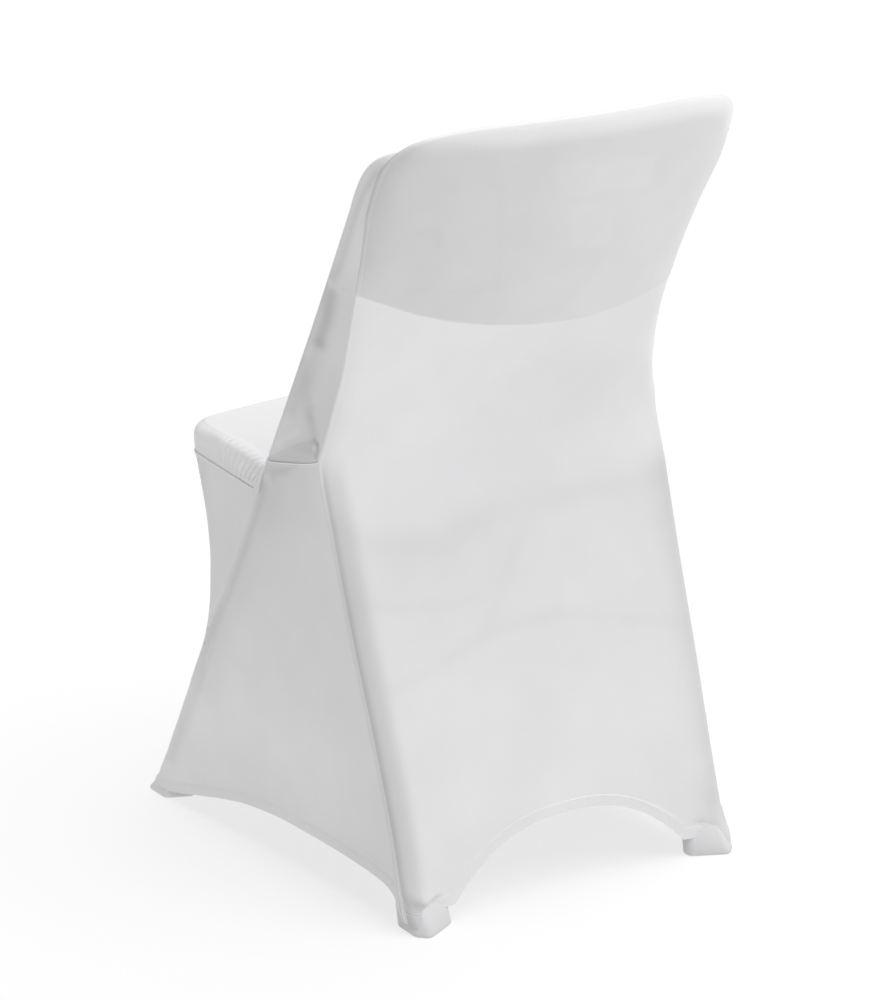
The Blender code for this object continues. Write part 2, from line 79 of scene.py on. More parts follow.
# Upright tube and front leg, one straight line in side view
LEG_SLOPE = 0.525
LEG_REF_HEIGHT = 0.478
LEG_REF_DEPTH = 0.0091
TUBE_X = 0.2073
TUBE_R = 0.013
LEG_KICK = 0.006
LEG_KICK_HEIGHT = 0.060

# Seam at the sides of the back panel, from foot to backrest
SEAM = named_rows(
    "height half_width depth",
    (0.020, 0.2105, 0.2252),
    (0.100, 0.2088, 0.2020),
    (0.200, 0.2106, 0.1700),
    (0.300, 0.2130, 0.1355),
    (0.400, 0.2146, 0.1045),
    (0.478, 0.2150, 0.0832),
    (0.490, 0.2117, 0.0846),
    (0.520, 0.2062, 0.0905),
    (0.580, 0.2014, 0.1090),
    (0.640, 0.2045, 0.1301),
    (0.700, 0.2108, 0.1552),
    (0.760, 0.2205, 0.1830),
)
FOOT_HEIGHT = SEAM[0].height
PINCH_HEIGHT = 0.478
SHOULDER_HEIGHT = 0.760

# Outline of the backrest above the shoulder, a rounded rectangle with a slight crown
TOP_RISE = 0.0925
TOP_POWER = 4.6
TOP_CROWN = 0.001
TOP_LEAN = 0.44
CORNER = 0.5 ** (1 / TOP_POWER)
GUSSET_DEPTH = 0.0258
GUSSET_DROP = 0.015
GUSSET_FADE = 0.7

# The near end of the backrest's top sits a little higher than the far end
TOP_TILT = 0.021
TILT_FROM = 0.600
TILT_TO = 0.850

# How far the back panel stands out behind the line between its side seams
BULGE = named_rows(
    "height bulge",
    (0.020, 0.002),
    (0.200, 0.003),
    (0.300, 0.005),
    (0.400, 0.011),
    (0.480, 0.020),
    (0.550, 0.032),
    (0.600, 0.044),
    (0.640, 0.052),
    (0.700, 0.052),
    (0.760, 0.048),
    (0.858, 0.043),
)
EDGE_WIDTH = 0.020
EDGE_DEPTH = 0.010

# Rounder edge where the back panel wraps the rear legs' tubes
LEG_EDGE_WIDTH = 0.028
LEG_EDGE_DEPTH = 0.018
LEG_EDGE_FOOT = 0.100
LEG_EDGE_TOP = 0.400
LEG_EDGE_END = 0.520

# Seat
SEAT_SEAM = 0.411
SEAT_CROWN = 0.005
SEAT_CORNER_R = 0.032
SEAT_CORNER_X = 0.168
EAR_HEIGHT = 0.455

# Seat's side wall above its lower seam
SEAT_WALL = named_rows(
    "inset height crown",
    (-0.001, 0.430, 0.0),
    (0.003, 0.4385, 0.5),
    (0.011, 0.4430, 1.0),
)

# Seat's rear seam between the ear and the flat of the seat
SEAT_REAR = named_rows(
    "half_width forward height",
    (0.206, 0.002, 0.4500),
    (0.198, 0.003, 0.4465),
    (0.188, 0.004, 0.4440),
)
SEAT_REAR_COLUMNS = (0.86, 0.68, 0.46, 0.23, 0.0)

# Fold at the skirt's front corner: sideways reach towards the front-left, seen along the fold
FRONT_CORNER = named_rows(
    "height reach",
    (0.200, 0.2608),
    (0.231, 0.2555),
    (0.264, 0.2521),
    (0.300, 0.2518),
    (0.340, 0.2552),
    (0.380, 0.2623),
    (0.411, 0.2685),
)
REACH_DIR = (0.823, -0.568)
FRONT_MERGE = 0.200
FRONT_SPLIT = 0.300
CORNER_CLEARANCE = 0.0015
APRON_SWELL = 0.016
SIDE_DRAW = 0.003
GUSSET_DRAW = 0.0015
EAR_FALL = 0.8
EAR_POWER = 7
FOLD_STEP = 0.0004
HEM_LOOK_HEIGHT = 0.03

# Angles round the front leg where the cloth leaves it, from 0 outwards to 90 at the front
MERGE_ANGLE = 30.0
LEAVE_ANGLE = 62.0
MEET_ANGLE = 8.0

# Hem arches: the back and front ones by distance from the middle, the side one by depth
BACK_ARCH_HALF = 0.150
BACK_ARCH_RISE = 0.065
FRONT_FOOT_HEIGHT = 0.010
FRONT_ARCH_HALF = 0.172
FRONT_ARCH_RISE = 0.080
ARCH_POWER = 2.5
SIDE_HEM = named_rows(
    "depth height",
    (-0.215, 0.010),
    (-0.190, 0.013),
    (-0.160, 0.022),
    (-0.110, 0.036),
    (-0.063, 0.045),
    (0.010, 0.050),
    (0.080, 0.050),
    (0.150, 0.048),
    (0.195, 0.044),
    (0.212, 0.038),
    (0.222, 0.022),
)

# Foot pockets: corners of the plan outline at the rim and at the sole, with the rims inside the cover
POCKET_CORNER = "rim_x rim_y sole_x sole_y"
REAR_BOOT = named_rows(
    POCKET_CORNER,
    (0.1425, 0.2290, 0.1460, 0.2360),
    (0.1880, 0.1955, 0.1850, 0.2040),
    (0.2060, 0.2035, 0.2070, 0.2120),
    (0.2070, 0.2265, 0.2085, 0.2490),
    (0.1930, 0.2310, 0.1955, 0.2620),
)
FRONT_BOOT = named_rows(
    POCKET_CORNER,
    (0.1850, -0.2110, 0.1870, -0.1990),
    (0.1850, -0.2500, 0.1880, -0.2585),
    (0.2150, -0.2500, 0.2240, -0.2585),
    (0.2160, -0.2140, 0.2255, -0.2180),
)
REAR_BOOT_HEIGHT = 0.038
FRONT_BOOT_HEIGHT = 0.016
# Painted shade towards the rear pockets' soles; below 0, on the front ones, painted light
REAR_SOLE_DARK = 0.09
FRONT_SOLE_DARK = -0.12
SOLE_BAND = 0.020
POCKET_STEPS = 8
POCKET_CLOTH = 0.0014
POCKET_ROUND = 0.0035
POCKET_R = 0.010
POCKET_MOVE = -0.00678

# How far up its slant a pocket's rounded edge ends, outside and inside
ROUND_SHARE = 0.1
INNER_SHARE = 0.2


def finer(values, counts=None):
    """The values with even steps added between each two of them."""
    steps = [values[0]]
    for a, b, count in zip(values, values[1:], counts or [FINER] * len(values)):
        steps += [a + (b - a) * k / count for k in range(1, count + 1)]
    return tuple(steps)


def hermite(a, b, leave, arrive, t):
    """A place between two values of a smooth curve, from its slopes at both."""
    bend = a * (2 * t**3 - 3 * t**2 + 1) + b * (3 * t**2 - 2 * t**3)
    return bend + leave * (t**3 - 2 * t**2 + t) + arrive * (t**3 - t**2)


def finer_line(points):
    """A smooth curve through the points, with even steps added between each two."""
    line = [points[0]]
    for i in range(len(points) - 1):
        a, b = points[i], points[i + 1]
        before = points[i - 1] if i else a - (b - a)
        after = points[i + 2] if i + 2 < len(points) else b + (b - a)
        for k in range(1, FINER + 1):
            line.append(hermite(a, b, (b - before) / 2, (after - a) / 2, k / FINER))
    return line


# Sampling: each border's points are shared by the panels on both sides of it
BACK_COLUMNS = finer((1.0, 0.975, 0.945, 0.905, 0.80, 0.62, 0.42, 0.21, 0.0))
TOP_COLUMNS = finer((CORNER, 0.83, 0.78, 0.71, 0.60, 0.46, 0.31, 0.155, 0.0))
HEIGHTS_BETWEEN = (0.032, 0.036, 0.07, 0.12, 0.18, 0.24, 0.3, 0.36, 0.42, 0.47)
LOWER_SEAM_HEIGHTS = finer((FOOT_HEIGHT, *HEIGHTS_BETWEEN, PINCH_HEIGHT))
UPPER_SEAM_HEIGHTS = (PINCH_HEIGHT, 0.49, 0.51, 0.54, 0.58, 0.62, 0.65, 0.68, 0.715, SHOULDER_HEIGHT)
SEAM_HEIGHTS = LOWER_SEAM_HEIGHTS + finer(UPPER_SEAM_HEIGHTS)[1:]
SHOULDER_SHARES = finer((0.0, 0.35, 0.62, 0.78, CORNER))[1:]
SIDE_SHARES = finer((0.0, 0.015, 0.04, 0.14, 0.34, 0.56, 0.78, 1.0))
SIDE_COLUMNS = len(SIDE_SHARES) - 1
TUBE_COLUMNS = 3 * FINER
FOLD_STEPS = 36
FOLD_SHARES = finer((0.0, 0.05, 0.36, 0.68, 1.0), (FINER, FOLD_STEPS, FOLD_STEPS, FOLD_STEPS))[:-1]
FOLD_COLUMNS = len(FOLD_SHARES)
CORNER_COLUMNS = 4 * FINER
APRON_COLUMNS = finer((1.0, 0.66, 0.33, 0.0))
EAR = SIDE_COLUMNS + TUBE_COLUMNS
CORNER_START = EAR + FOLD_COLUMNS
CORNER_END = CORNER_START + CORNER_COLUMNS
CORNER_MIDDLE = CORNER_START + CORNER_COLUMNS // 2
LAST_COLUMN = CORNER_END + len(APRON_COLUMNS) - 1


def clamp(value, low=0.0, high=1.0):
    return max(low, min(high, value))


def mix(a, b, share):
    return a + (b - a) * share


def smooth(share):
    share = clamp(share)
    return share * share * (3 - 2 * share)


CURVES = {}


def read(rows, key, value, column):
    """A smooth curve through one column of a table, flat beyond its ends."""
    known = id(rows), column
    if known not in CURVES:
        in_order = sorted(rows, key=lambda row: getattr(row, key))
        CURVES[known] = [[getattr(row, name) for row in in_order] for name in (key, column)]
    xs, ys = CURVES[known]
    if value <= xs[0]:
        return ys[0]
    if value >= xs[-1]:
        return ys[-1]
    i = max(k for k in range(len(xs) - 1) if xs[k] <= value)
    slopes = [(ys[k + 1] - ys[k]) / (xs[k + 1] - xs[k]) for k in range(len(xs) - 1)]

    def tangent(k):
        if k == 0 or k == len(slopes):
            return slopes[min(k, len(slopes) - 1)]
        a, b = slopes[k - 1], slopes[k]
        return 0.0 if a * b <= 0 else 2 * a * b / (a + b)

    step = xs[i + 1] - xs[i]
    share = (value - xs[i]) / step
    return hermite(ys[i], ys[i + 1], step * tangent(i), step * tangent(i + 1), share)


def mirrored(points):
    return [Vector((-p.x, p.y, p.z)) for p in points]


def there_and_back(points):
    """A line from the +X side to the middle, carried on to the -X side."""
    return points + mirrored(points[:-1])[::-1]


def tube_depth(z):
    """Depth of the tube's middle; the cloth reaches a little further forward at the foot."""
    kick = LEG_KICK * clamp(1 - z / LEG_KICK_HEIGHT) ** 2
    return LEG_REF_DEPTH + LEG_SLOPE * (z - LEG_REF_HEIGHT) - kick


def seam_point(z):
    return Vector((read(SEAM, "height", z, "half_width"), read(SEAM, "height", z, "depth"), z))


SHOULDER = seam_point(SHOULDER_HEIGHT)


def crest_depth(x, z):
    """Depth of the seam over the top of the backrest."""
    side = SHOULDER.y + TOP_LEAN * (z - SHOULDER_HEIGHT)
    return side + read(BULGE, "height", z, "bulge") * (1 - clamp(abs(x) / SHOULDER.x) ** 2)


def crest_point(x, share):
    """A point of the backrest's outline above the shoulder, share of the rise high."""
    z = SHOULDER_HEIGHT + TOP_RISE * share + TOP_CROWN * (1 - (x / SHOULDER.x) ** 2)
    return Vector((x, crest_depth(x, z), z))


def back_arch():
    """The back panel's seam: up one side to the corner, and from there to the middle."""
    side = [seam_point(z) for z in SEAM_HEIGHTS]
    for share in SHOULDER_SHARES:
        x = SHOULDER.x * (1 - share**TOP_POWER) ** (1 / TOP_POWER)
        side.append(crest_point(x, share))
    top = []
    for part in TOP_COLUMNS:
        top.append(crest_point(SHOULDER.x * part, (1 - part**TOP_POWER) ** (1 / TOP_POWER)))
    top[0] = side[-1]
    return side, top


def edge_distance(x, z):
    """Distance in the X-Z plane from a point of the back panel to its side or top seam."""
    if z <= SHOULDER_HEIGHT:
        return read(SEAM, "height", z, "half_width") - abs(x)
    across = (abs(x) / SHOULDER.x) ** TOP_POWER
    rise = TOP_RISE + TOP_CROWN * (1 - (x / SHOULDER.x) ** 2)
    up = ((z - SHOULDER_HEIGHT) / rise) ** TOP_POWER
    reach = (across + up) ** (1 / TOP_POWER)
    return (1 - reach) * mix(SHOULDER.x, rise, up / (across + up))


def back_depth(x, z):
    """Depth of the back panel, which rounds over its edge towards the seam."""
    if z <= SHOULDER_HEIGHT:
        seam = seam_point(z)
        depth = seam.y + read(BULGE, "height", z, "bulge") * (1 - clamp(abs(x) / seam.x) ** 2)
    else:
        depth = crest_depth(x, z)
    leg = smooth(z / LEG_EDGE_FOOT) * smooth((LEG_EDGE_END - z) / (LEG_EDGE_END - LEG_EDGE_TOP))
    inside = clamp(edge_distance(x, z) / mix(EDGE_WIDTH, LEG_EDGE_WIDTH, leg))
    return depth + mix(EDGE_DEPTH, LEG_EDGE_DEPTH, leg) * math.sqrt(1 - (1 - inside) ** 2)


def shares(points, axis):
    """How far along an axis each point of a border lies, from 0 to 1."""
    span = points[-1][axis] - points[0][axis]
    return [(point[axis] - points[0][axis]) / span for point in points]


def patch(left, bottom, top, axis):
    """Rows of points between a border, its mirror image, and a bottom and top line."""
    right = mirrored(left)
    low, high = shares(bottom, 0), shares(top, 0)
    rows = []
    for j, v in enumerate(shares(left, axis)):
        row = []
        for i in range(len(bottom)):
            across = left[j].lerp(right[j], mix(low[i], high[i], v))
            low_sag = bottom[i] - bottom[0].lerp(bottom[-1], low[i])
            high_sag = top[i] - top[0].lerp(top[-1], high[i])
            row.append(across + low_sag * (1 - v) ** 2 + high_sag * v**2)
        rows.append(row)
    rows[0], rows[-1] = bottom, top
    return rows


def back_hem_height(x):
    return FOOT_HEIGHT + BACK_ARCH_RISE * clamp(1 - (abs(x) / BACK_ARCH_HALF) ** ARCH_POWER)


def front_hem_height(x):
    return FRONT_FOOT_HEIGHT + FRONT_ARCH_RISE * clamp(1 - (abs(x) / FRONT_ARCH_HALF) ** ARCH_POWER)


def back_panel_rows():
    """One long panel from the arched hem to the seam over the top."""
    side, top = back_arch()
    hem = []
    for part in BACK_COLUMNS:
        x = side[0].x * part
        z = back_hem_height(x)
        hem.append(Vector((x, back_depth(x, z), z)))
    hem[0] = side[0]
    rows = patch(side, there_and_back(hem), there_and_back(top), 2)
    for row in rows[1:-1]:
        for point in row[1:-1]:
            point.y = back_depth(point.x, point.z)
    return rows


def corner_circle(z):
    """Plan centre and radius of the skirt's front corner, one with the leg near the floor."""
    leg = tube_depth(z) - CORNER_CLEARANCE
    share = smooth((z - FRONT_MERGE) / (SEAT_SEAM - FRONT_MERGE))
    radius = mix(TUBE_R, SEAT_CORNER_R, share)
    x = mix(TUBE_X, SEAT_CORNER_X, share)
    if z <= FRONT_MERGE:
        return x, leg, radius
    reach = read(FRONT_CORNER, "height", z, "reach")
    y = (reach - radius - REACH_DIR[0] * x) / REACH_DIR[1]
    return x, min(y, leg), radius


def on_circle(x, y, radius, degrees, z):
    """A point of a plan circle: 0 degrees faces outwards, 90 faces the front."""
    angle = math.radians(degrees)
    return Vector((x + radius * math.cos(angle), y - radius * math.sin(angle), z))


def fold_angles(z):
    """Where the cloth leaves the front leg's tube, and where it meets the front corner."""
    share = smooth((z - FRONT_MERGE) / (FRONT_SPLIT - FRONT_MERGE))
    return mix(MERGE_ANGLE, LEAVE_ANGLE, share), mix(MERGE_ANGLE, MEET_ANGLE, share)


def tube_point(degrees, z):
    return on_circle(TUBE_X, tube_depth(z), TUBE_R, degrees, z)


def skirt_point(column, z):
    """A point of the skirt; columns run from the back seam round the leg to the middle."""
    leaves, meets = fold_angles(z)
    x, y, radius = corner_circle(z)
    if column <= SIDE_COLUMNS:
        share = SIDE_SHARES[column]
        point = seam_point(z).lerp(tube_point(0.0, z), share)
        point.x -= SIDE_DRAW * math.sin(math.pi * share)
        return point
    if column <= EAR:
        return tube_point(leaves * (column - SIDE_COLUMNS) / TUBE_COLUMNS, z)
    if column < CORNER_START:
        share = FOLD_SHARES[column - EAR]
        leave, meet = tube_point(leaves, z), on_circle(x, y, radius, meets, z)
        steps = max(1, int((meet - leave).length / FOLD_STEP))
        if steps < FOLD_COLUMNS / 2:
            share = round(share * steps) / steps
        return leave.lerp(meet, share)
    if column <= CORNER_END:
        share = (column - CORNER_START) / CORNER_COLUMNS
        return on_circle(x, y, radius, mix(meets, 90.0, share), z)
    part = APRON_COLUMNS[column - CORNER_END]
    swell = APRON_SWELL * math.sin(math.pi * clamp(z / SEAT_SEAM)) ** 2
    return Vector((x * part, y - radius - swell * (1 - part**2), z))


def skirt_top(column):
    """Height of the skirt's upper edge: raised seam, ear, then under the seat."""
    if column <= EAR:
        share = SIDE_SHARES[min(column, SIDE_COLUMNS)]
        return mix(PINCH_HEIGHT, EAR_HEIGHT, share**EAR_FALL)
    return mix(EAR_HEIGHT, SEAT_SEAM, clamp((column - EAR) / FINER))


def skirt_hem(column):
    near_floor = skirt_point(column, HEM_LOOK_HEIGHT)
    if column < EAR:
        height = read(SIDE_HEM, "depth", near_floor.y, "height")
        return mix(FOOT_HEIGHT, height, clamp(column / FINER))
    return front_hem_height(near_floor.x)


def skirt_rows():
    """Both sides and the front in one length, from the hem to the seams above."""
    rows = []
    for height in LOWER_SEAM_HEIGHTS:
        in_hem = clamp((height - FOOT_HEIGHT) / HEM_WIDTH)
        share = clamp((height - FOOT_HEIGHT - HEM_WIDTH) / (PINCH_HEIGHT - FOOT_HEIGHT - HEM_WIDTH))
        row = []
        for column in range(LAST_COLUMN + 1):
            hem = skirt_hem(column)
            power = 1 + EAR_POWER * clamp(column / EAR)
            z = mix(hem + HEM_WIDTH * in_hem, SEAT_SEAM, share)
            z += (skirt_top(column) - SEAT_SEAM) * share**power
            row.append(skirt_point(column, z))
        rows.append(there_and_back(row))
    return rows


def wrap_line(seam):
    """Points from the back seam, across the gusset and round to the front face."""
    if seam.z <= SHOULDER_HEIGHT:
        out = Vector((1, 0, 0))
        centre = Vector((TUBE_X, tube_depth(seam.z), seam.z))
    else:
        across = clamp(seam.x / SHOULDER.x) ** (TOP_POWER - 1)
        up = clamp((seam.z - SHOULDER_HEIGHT) / TOP_RISE) ** (TOP_POWER - 1)
        out = Vector((across, 0, up)).normalized()
        depth = GUSSET_DEPTH * (1 - GUSSET_FADE * math.sqrt(out.z))
        centre = seam - out * TUBE_R - Vector((0, depth, GUSSET_DROP * out.z))
    line = []
    for column in range(SIDE_COLUMNS):
        share = column / SIDE_COLUMNS
        point = seam.lerp(centre + out * TUBE_R, share)
        line.append(point - out * GUSSET_DRAW * math.sin(math.pi * share))
    for column in range(TUBE_COLUMNS + 1):
        angle = math.radians(90 * column / TUBE_COLUMNS)
        turn = out * math.cos(angle) - Vector((0, math.sin(angle), 0))
        line.append(centre + turn * TUBE_R)
    return line


def seat_rear_line():
    """Seam between the front face and the seat, from ear to ear."""
    ear = skirt_point(EAR, EAR_HEIGHT)
    half = [ear]
    for row in SEAT_REAR:
        half.append(Vector((row.half_width, ear.y - row.forward, row.height)))
    for part in SEAT_REAR_COLUMNS:
        x = SEAT_REAR[-1].half_width * part
        half.append(Vector((x, half[-1].y, SEAT_REAR[-1].height + seat_crown(x))))
    return there_and_back(finer_line(half))


def seat_crown(x):
    return SEAT_CROWN * (1 - (x / SEAT_REAR[-1].half_width) ** 2)


def inner_panel_rows():
    """Gussets and wings as rows along the seam, and the front face as a patch."""
    side, top = back_arch()
    start = len(LOWER_SEAM_HEIGHTS) - 1
    ear_line = [skirt_point(column, skirt_top(column)) for column in range(EAR + 1)]
    lines = [ear_line]
    for seam in side[start + 1:] + top[1:]:
        lines.append(wrap_line(seam))
    above = lines[1]
    for k in range(FINER - 1, 0, -1):
        between = []
        for i, (low, high) in enumerate(zip(ear_line, above)):
            between.append(low.lerp(high, k / FINER * clamp(i / FINER)))
        lines.insert(1, between)
    wrap = lines + [mirrored(line) for line in lines[:-1]][::-1]
    rim = [line[-1] for line in lines]
    corner = len(side) - start + FINER - 1
    face = patch(rim[:corner], seat_rear_line(), there_and_back(rim[corner - 1:]), 2)
    return wrap, face


def seat_rows():
    """The seat's gathered sides as rows along its lower seam, and its top as a patch."""
    outline = [skirt_point(column, skirt_top(column)) for column in range(EAR, LAST_COLUMN + 1)]
    rear = seat_rear_line()
    rows = len(SEAT_WALL) * FINER
    walls = [rear[:rows + 1]]
    for i in range(FINER, len(outline)):
        ahead = outline[min(i + 1, len(outline) - 1)]
        behind = outline[max(i - 1, FINER)]
        along = ahead - behind
        inward = Vector((along.y, -along.x, 0)).normalized()
        wall = [outline[i]]
        for row in SEAT_WALL:
            point = outline[i] + inward * row.inset
            point.z = row.height + seat_crown(point.x) * row.crown
            wall.append(point)
        walls.append(finer_line(wall))
    for i in range(1, FINER):
        wall = [a.lerp(b, i / FINER) for a, b in zip(walls[0], walls[i])]
        wall[0] = outline[i]
        walls.insert(i, wall)
    rim = [wall[-1] for wall in walls]
    corner = CORNER_MIDDLE - EAR + 1
    inner = rear[rows:len(rear) - rows]
    top = patch(rim[:corner], inner, there_and_back(rim[corner - 1:]), 1)
    return walls + [mirrored(wall) for wall in walls[:-1]][::-1], top


# Marks on the cloth, on two flat maps: the back is x and height, the sides are depth and height
LINE = "map width amount points"
BACK, SIDE, WING = "back", "side", "wing"

# Ridges and troughs, with how far the cloth stands out
CREASES = named_rows(
    LINE,
    (SIDE, 0.005, 0.0034, [(-0.158, 0.44), (-0.122, 0.4402), (-0.087, 0.44), (-0.048, 0.44)]),
    (SIDE, 0.005, 0.0012, [(-0.004, 0.463), (0.0415, 0.489), (0.06, 0.4975)]),
    (SIDE, 0.0025, 0.0014, [(0.052, 0.5255), (0.064, 0.528)]),
    (SIDE, 0.0024, 0.0022, [(0.0635, 0.4935), (0.0655, 0.488)]),
    (SIDE, 0.0045, -0.0012, [(0.053, 0.545), (0.056, 0.518), (0.062, 0.503)]),
    (SIDE, 0.0055, -0.0016, [(-0.022, 0.44), (0.022, 0.454)]),
    (SIDE, 0.0022, 0.001, [(0.108, 0.676), (0.116, 0.6735), (0.124, 0.6705)]),
    (SIDE, 0.009, -0.0022, [(-0.018, 0.428), (-0.056, 0.3575), (-0.0955, 0.283), (-0.104, 0.268)]),
    (SIDE, 0.006, -0.0012,
     [(0.114, 0.69), (0.1325, 0.7225), (0.148, 0.7535), (0.1665, 0.787), (0.183, 0.808)]),
    (BACK, 0.004, -0.0012, [(-0.166, 0.036), (-0.176, 0.033), (-0.188, 0.024)]),
    (BACK, 0.0022, 0.0012, [(0.2, 0.04), (0.184, 0.032), (0.168, 0.038)]),
)

# Painted shade along folds and creases, at edges turned from the light, and painted shadows of the chair's
# frame seen through the cloth; less than 0 is painted light
SHADES = named_rows(
    LINE,
    (SIDE, 0.005, 0.13,
     [(0.112, 0.685), (0.1201, 0.696), (0.1325, 0.7225), (0.148, 0.7535), (0.1665, 0.787), (0.183, 0.808),
      (0.197, 0.818)]),
    (SIDE, 0.007, 0.22, [(0.106, 0.668), (0.0936, 0.636), (0.08, 0.608)]),
    (SIDE, 0.01, 0.1, [(0.078, 0.605), (0.0595, 0.568), (0.0404, 0.5415), (0.03, 0.522)]),
    (SIDE, 0.008, 0.07, [(0.056, 0.58), (0.054, 0.567), (0.0525, 0.544), (0.055, 0.52)]),
    (SIDE, 0.007, 0.09, [(0.055, 0.521), (0.06, 0.506), (0.064, 0.498)]),
    (SIDE, 0.002, 0.15, [(0.064, 0.4985), (0.0695, 0.494), (0.0715, 0.488), (0.0705, 0.481)]),
    (SIDE, 0.0018, -0.1, [(0.0635, 0.4935), (0.0655, 0.488)]),
    (SIDE, 0.005, -0.05, [(0.006, 0.478), (0.036, 0.497)]),
    (SIDE, 0.0022, 0.22, [(-0.034, 0.4445), (-0.0235, 0.433), (-0.03, 0.419)]),
    (SIDE, 0.0065, 0.13,
     [(-0.022, 0.425), (-0.056, 0.3575), (-0.0955, 0.283), (-0.122, 0.24), (-0.16, 0.16), (-0.22, 0.048)]),
    (SIDE, 0.022, 0.055, [(-0.008, 0.43), (-0.042, 0.357), (-0.08, 0.283), (-0.108, 0.24), (-0.14, 0.16)]),
    (SIDE, 0.006, -0.05, [(-0.036, 0.419), (-0.072, 0.355), (-0.112, 0.281), (-0.137, 0.24)]),
    (SIDE, 0.012, -0.07, [(-0.2, 0.432), (-0.04, 0.434)]),
    (BACK, 0.016, 0.03,
     [(0.19, 0.399), (0.147, 0.386), (0.099, 0.382), (0.046, 0.396), (-0.06, 0.4), (-0.196, 0.398)]),
    (BACK, 0.006, 0.025, [(0.19, 0.333), (0.158, 0.323), (0.11, 0.318), (0.06, 0.316)]),
    (BACK, 0.008, 0.03, [(0.186, 0.246), (0.122, 0.261), (0.055, 0.281), (-0.036, 0.283), (-0.193, 0.24)]),
    (BACK, 0.01, 0.018, [(-0.003, 0.373), (0.025, 0.334), (0.05, 0.294)]),
    (BACK, 0.0016, 0.02, [(0.166, 0.679), (0.139, 0.676), (0.119, 0.671), (0.07, 0.666)]),
    (BACK, 0.0035, 0.03, [(0.174, 0.742), (0.162, 0.75), (0.153, 0.745), (0.147, 0.729)]),
    (BACK, 0.004, 0.018, [(0.109, 0.794), (0.097, 0.788), (0.086, 0.738), (0.076, 0.692), (0.07, 0.668)]),
    (BACK, 0.0035, 0.06, [(-0.166, 0.036), (-0.176, 0.033), (-0.188, 0.024)]),
    (BACK, 0.003, 0.12, [(0.202, 0.038), (0.184, 0.029), (0.17, 0.033)]),
    (BACK, 0.012, 0.1, [(0.2, 0.03), (0.18, 0.02)]),
    (BACK, 0.022, 0.12, [(-0.2, 0.03), (-0.204, 0.1), (-0.204, 0.2), (-0.204, 0.4)]),
    (BACK, 0.05, 0.03, [(-0.17, 0.06), (-0.17, 0.43)]),
    (BACK, 0.02, -0.06, [(-0.2, 0.54), (-0.2, 0.64), (-0.205, 0.73), (-0.21, 0.79)]),
    (SIDE, 0.045, 0.075, [(0.11, 0.66), (0.08, 0.6), (0.055, 0.53), (0.025, 0.465), (-0.002, 0.405)]),
    (SIDE, 0.08, -0.085, [(-0.22, 0.08), (-0.08, 0.14), (0.06, 0.12)]),
)
# Patches of painted shade above and below the raised side seam, and two faint patches of painted light on the
# backrest (less than 0)
SHADE_PATCHES = named_rows(
    "map edge amount corners",
    (WING, 0.0025, 0.13,
     [(-0.024, 0.4525), (-0.02, 0.44), (0.08, 0.462), (0.072, 0.4965), (0.06, 0.4975), (0.04, 0.488)]),
    (SIDE, 0.004, 0.11, [(-0.016, 0.457), (0.04, 0.464), (0.016, 0.449), (-0.006, 0.437), (-0.02, 0.44)]),
    (BACK, 0.005, -0.022, [(0.042, 0.808), (-0.092, 0.795), (-0.098, 0.758), (0.026, 0.771)]),
    (BACK, 0.005, -0.022, [(0.007, 0.756), (-0.046, 0.752), (-0.062, 0.695), (-0.006, 0.704)]),
)

# Backrest's lower edge, which shows through the back: x and height
BOARD_EDGE = [(0.205, 0.671), (0.187, 0.663), (0.149, 0.6465), (0.109, 0.634), (0.066, 0.624), (0.005, 0.614),
              (-0.064, 0.607), (-0.136, 0.611), (-0.190, 0.618)]
BOARD_LIFT = 0.0007
BOARD_STEP = 0.004
# Painted shade above the board's edge, where the left-out backrest would darken the cloth
BOARD_DARK = 0.085

# Limits of marks: a fade starts at one value and grows over a width, downwards where that is below 0
Fade = namedtuple("Fade", "start width")
Span = namedtuple("Span", "low high edge")

# Painted light: the back is lighter round the waist, more so towards the near side
NEAR_SIDE = Fade(-0.12, 0.30)
WAIST_LIGHT = 0.13
WAIST_SPAN = Span(0.42, 0.70, 0.16)
WAIST_FAR = 0.4

# Painted highlight along the rolled top edge, and painted shade in the tuck of the gusset under it
TOP_BAND = 0.021
TOP_BAND_EDGE = 0.020
TOP_BAND_WIDER = Fade(0.190, -0.10)
TOP_BAND_END = Fade(0.212, -0.04)
TOP_FROM = Fade(0.78, 0.03)
TOP_LIGHT = 0.19
TUCK_DARK = 0.13
TUCK_SPAN = Span(-0.001, 0.0034, 0.002)
TUCK_FROM = Fade(0.74, 0.03)

# Painted shade on the near side of the backrest, darker towards its seam
SIDE_DARK = 0.14
SIDE_DARK_REACH = 0.022
SIDE_DARK_FROM = Fade(0.165, 0.04)
BOARD_FROM = Fade(0.0, 0.05)

# Painted shade in a band beside the seam, where the back leaves the rear legs: dark at the seam, half as
# dark, then none; fainter on the far side, which faces the light
LEG_DARK = 0.28
FAR_LEG_DARK = 0.084
LEG_SPAN = Span(0.0, 0.47, 0.05)
LEG_BAND = Fade(0.0025, 0.003)
LEG_HALF = Fade(0.005, 0.008)
LEG_END = Fade(0.018, 0.016)

# Gathers sewn into the seat's side seam, and into the skirt's front corner
GATHER_PITCH = 0.0088
GATHER_DEPTH = 0.0016
GATHER_SLANT = 0.9
GATHER_MIDDLE = 0.417
SLANT_FROM = Fade(-0.130, 0.08)
GATHER_SPAN = Span(-0.135, -0.040, 0.012)
GATHER_RISE = Span(0.4165, 0.4410, 0.004)
PLEAT_PITCH = 0.0062
PLEAT_DEPTH = 0.0006
PLEAT_SPAN = Span(-0.198, -0.160, 0.010)
PLEAT_FROM = Fade(0.32, 0.07)

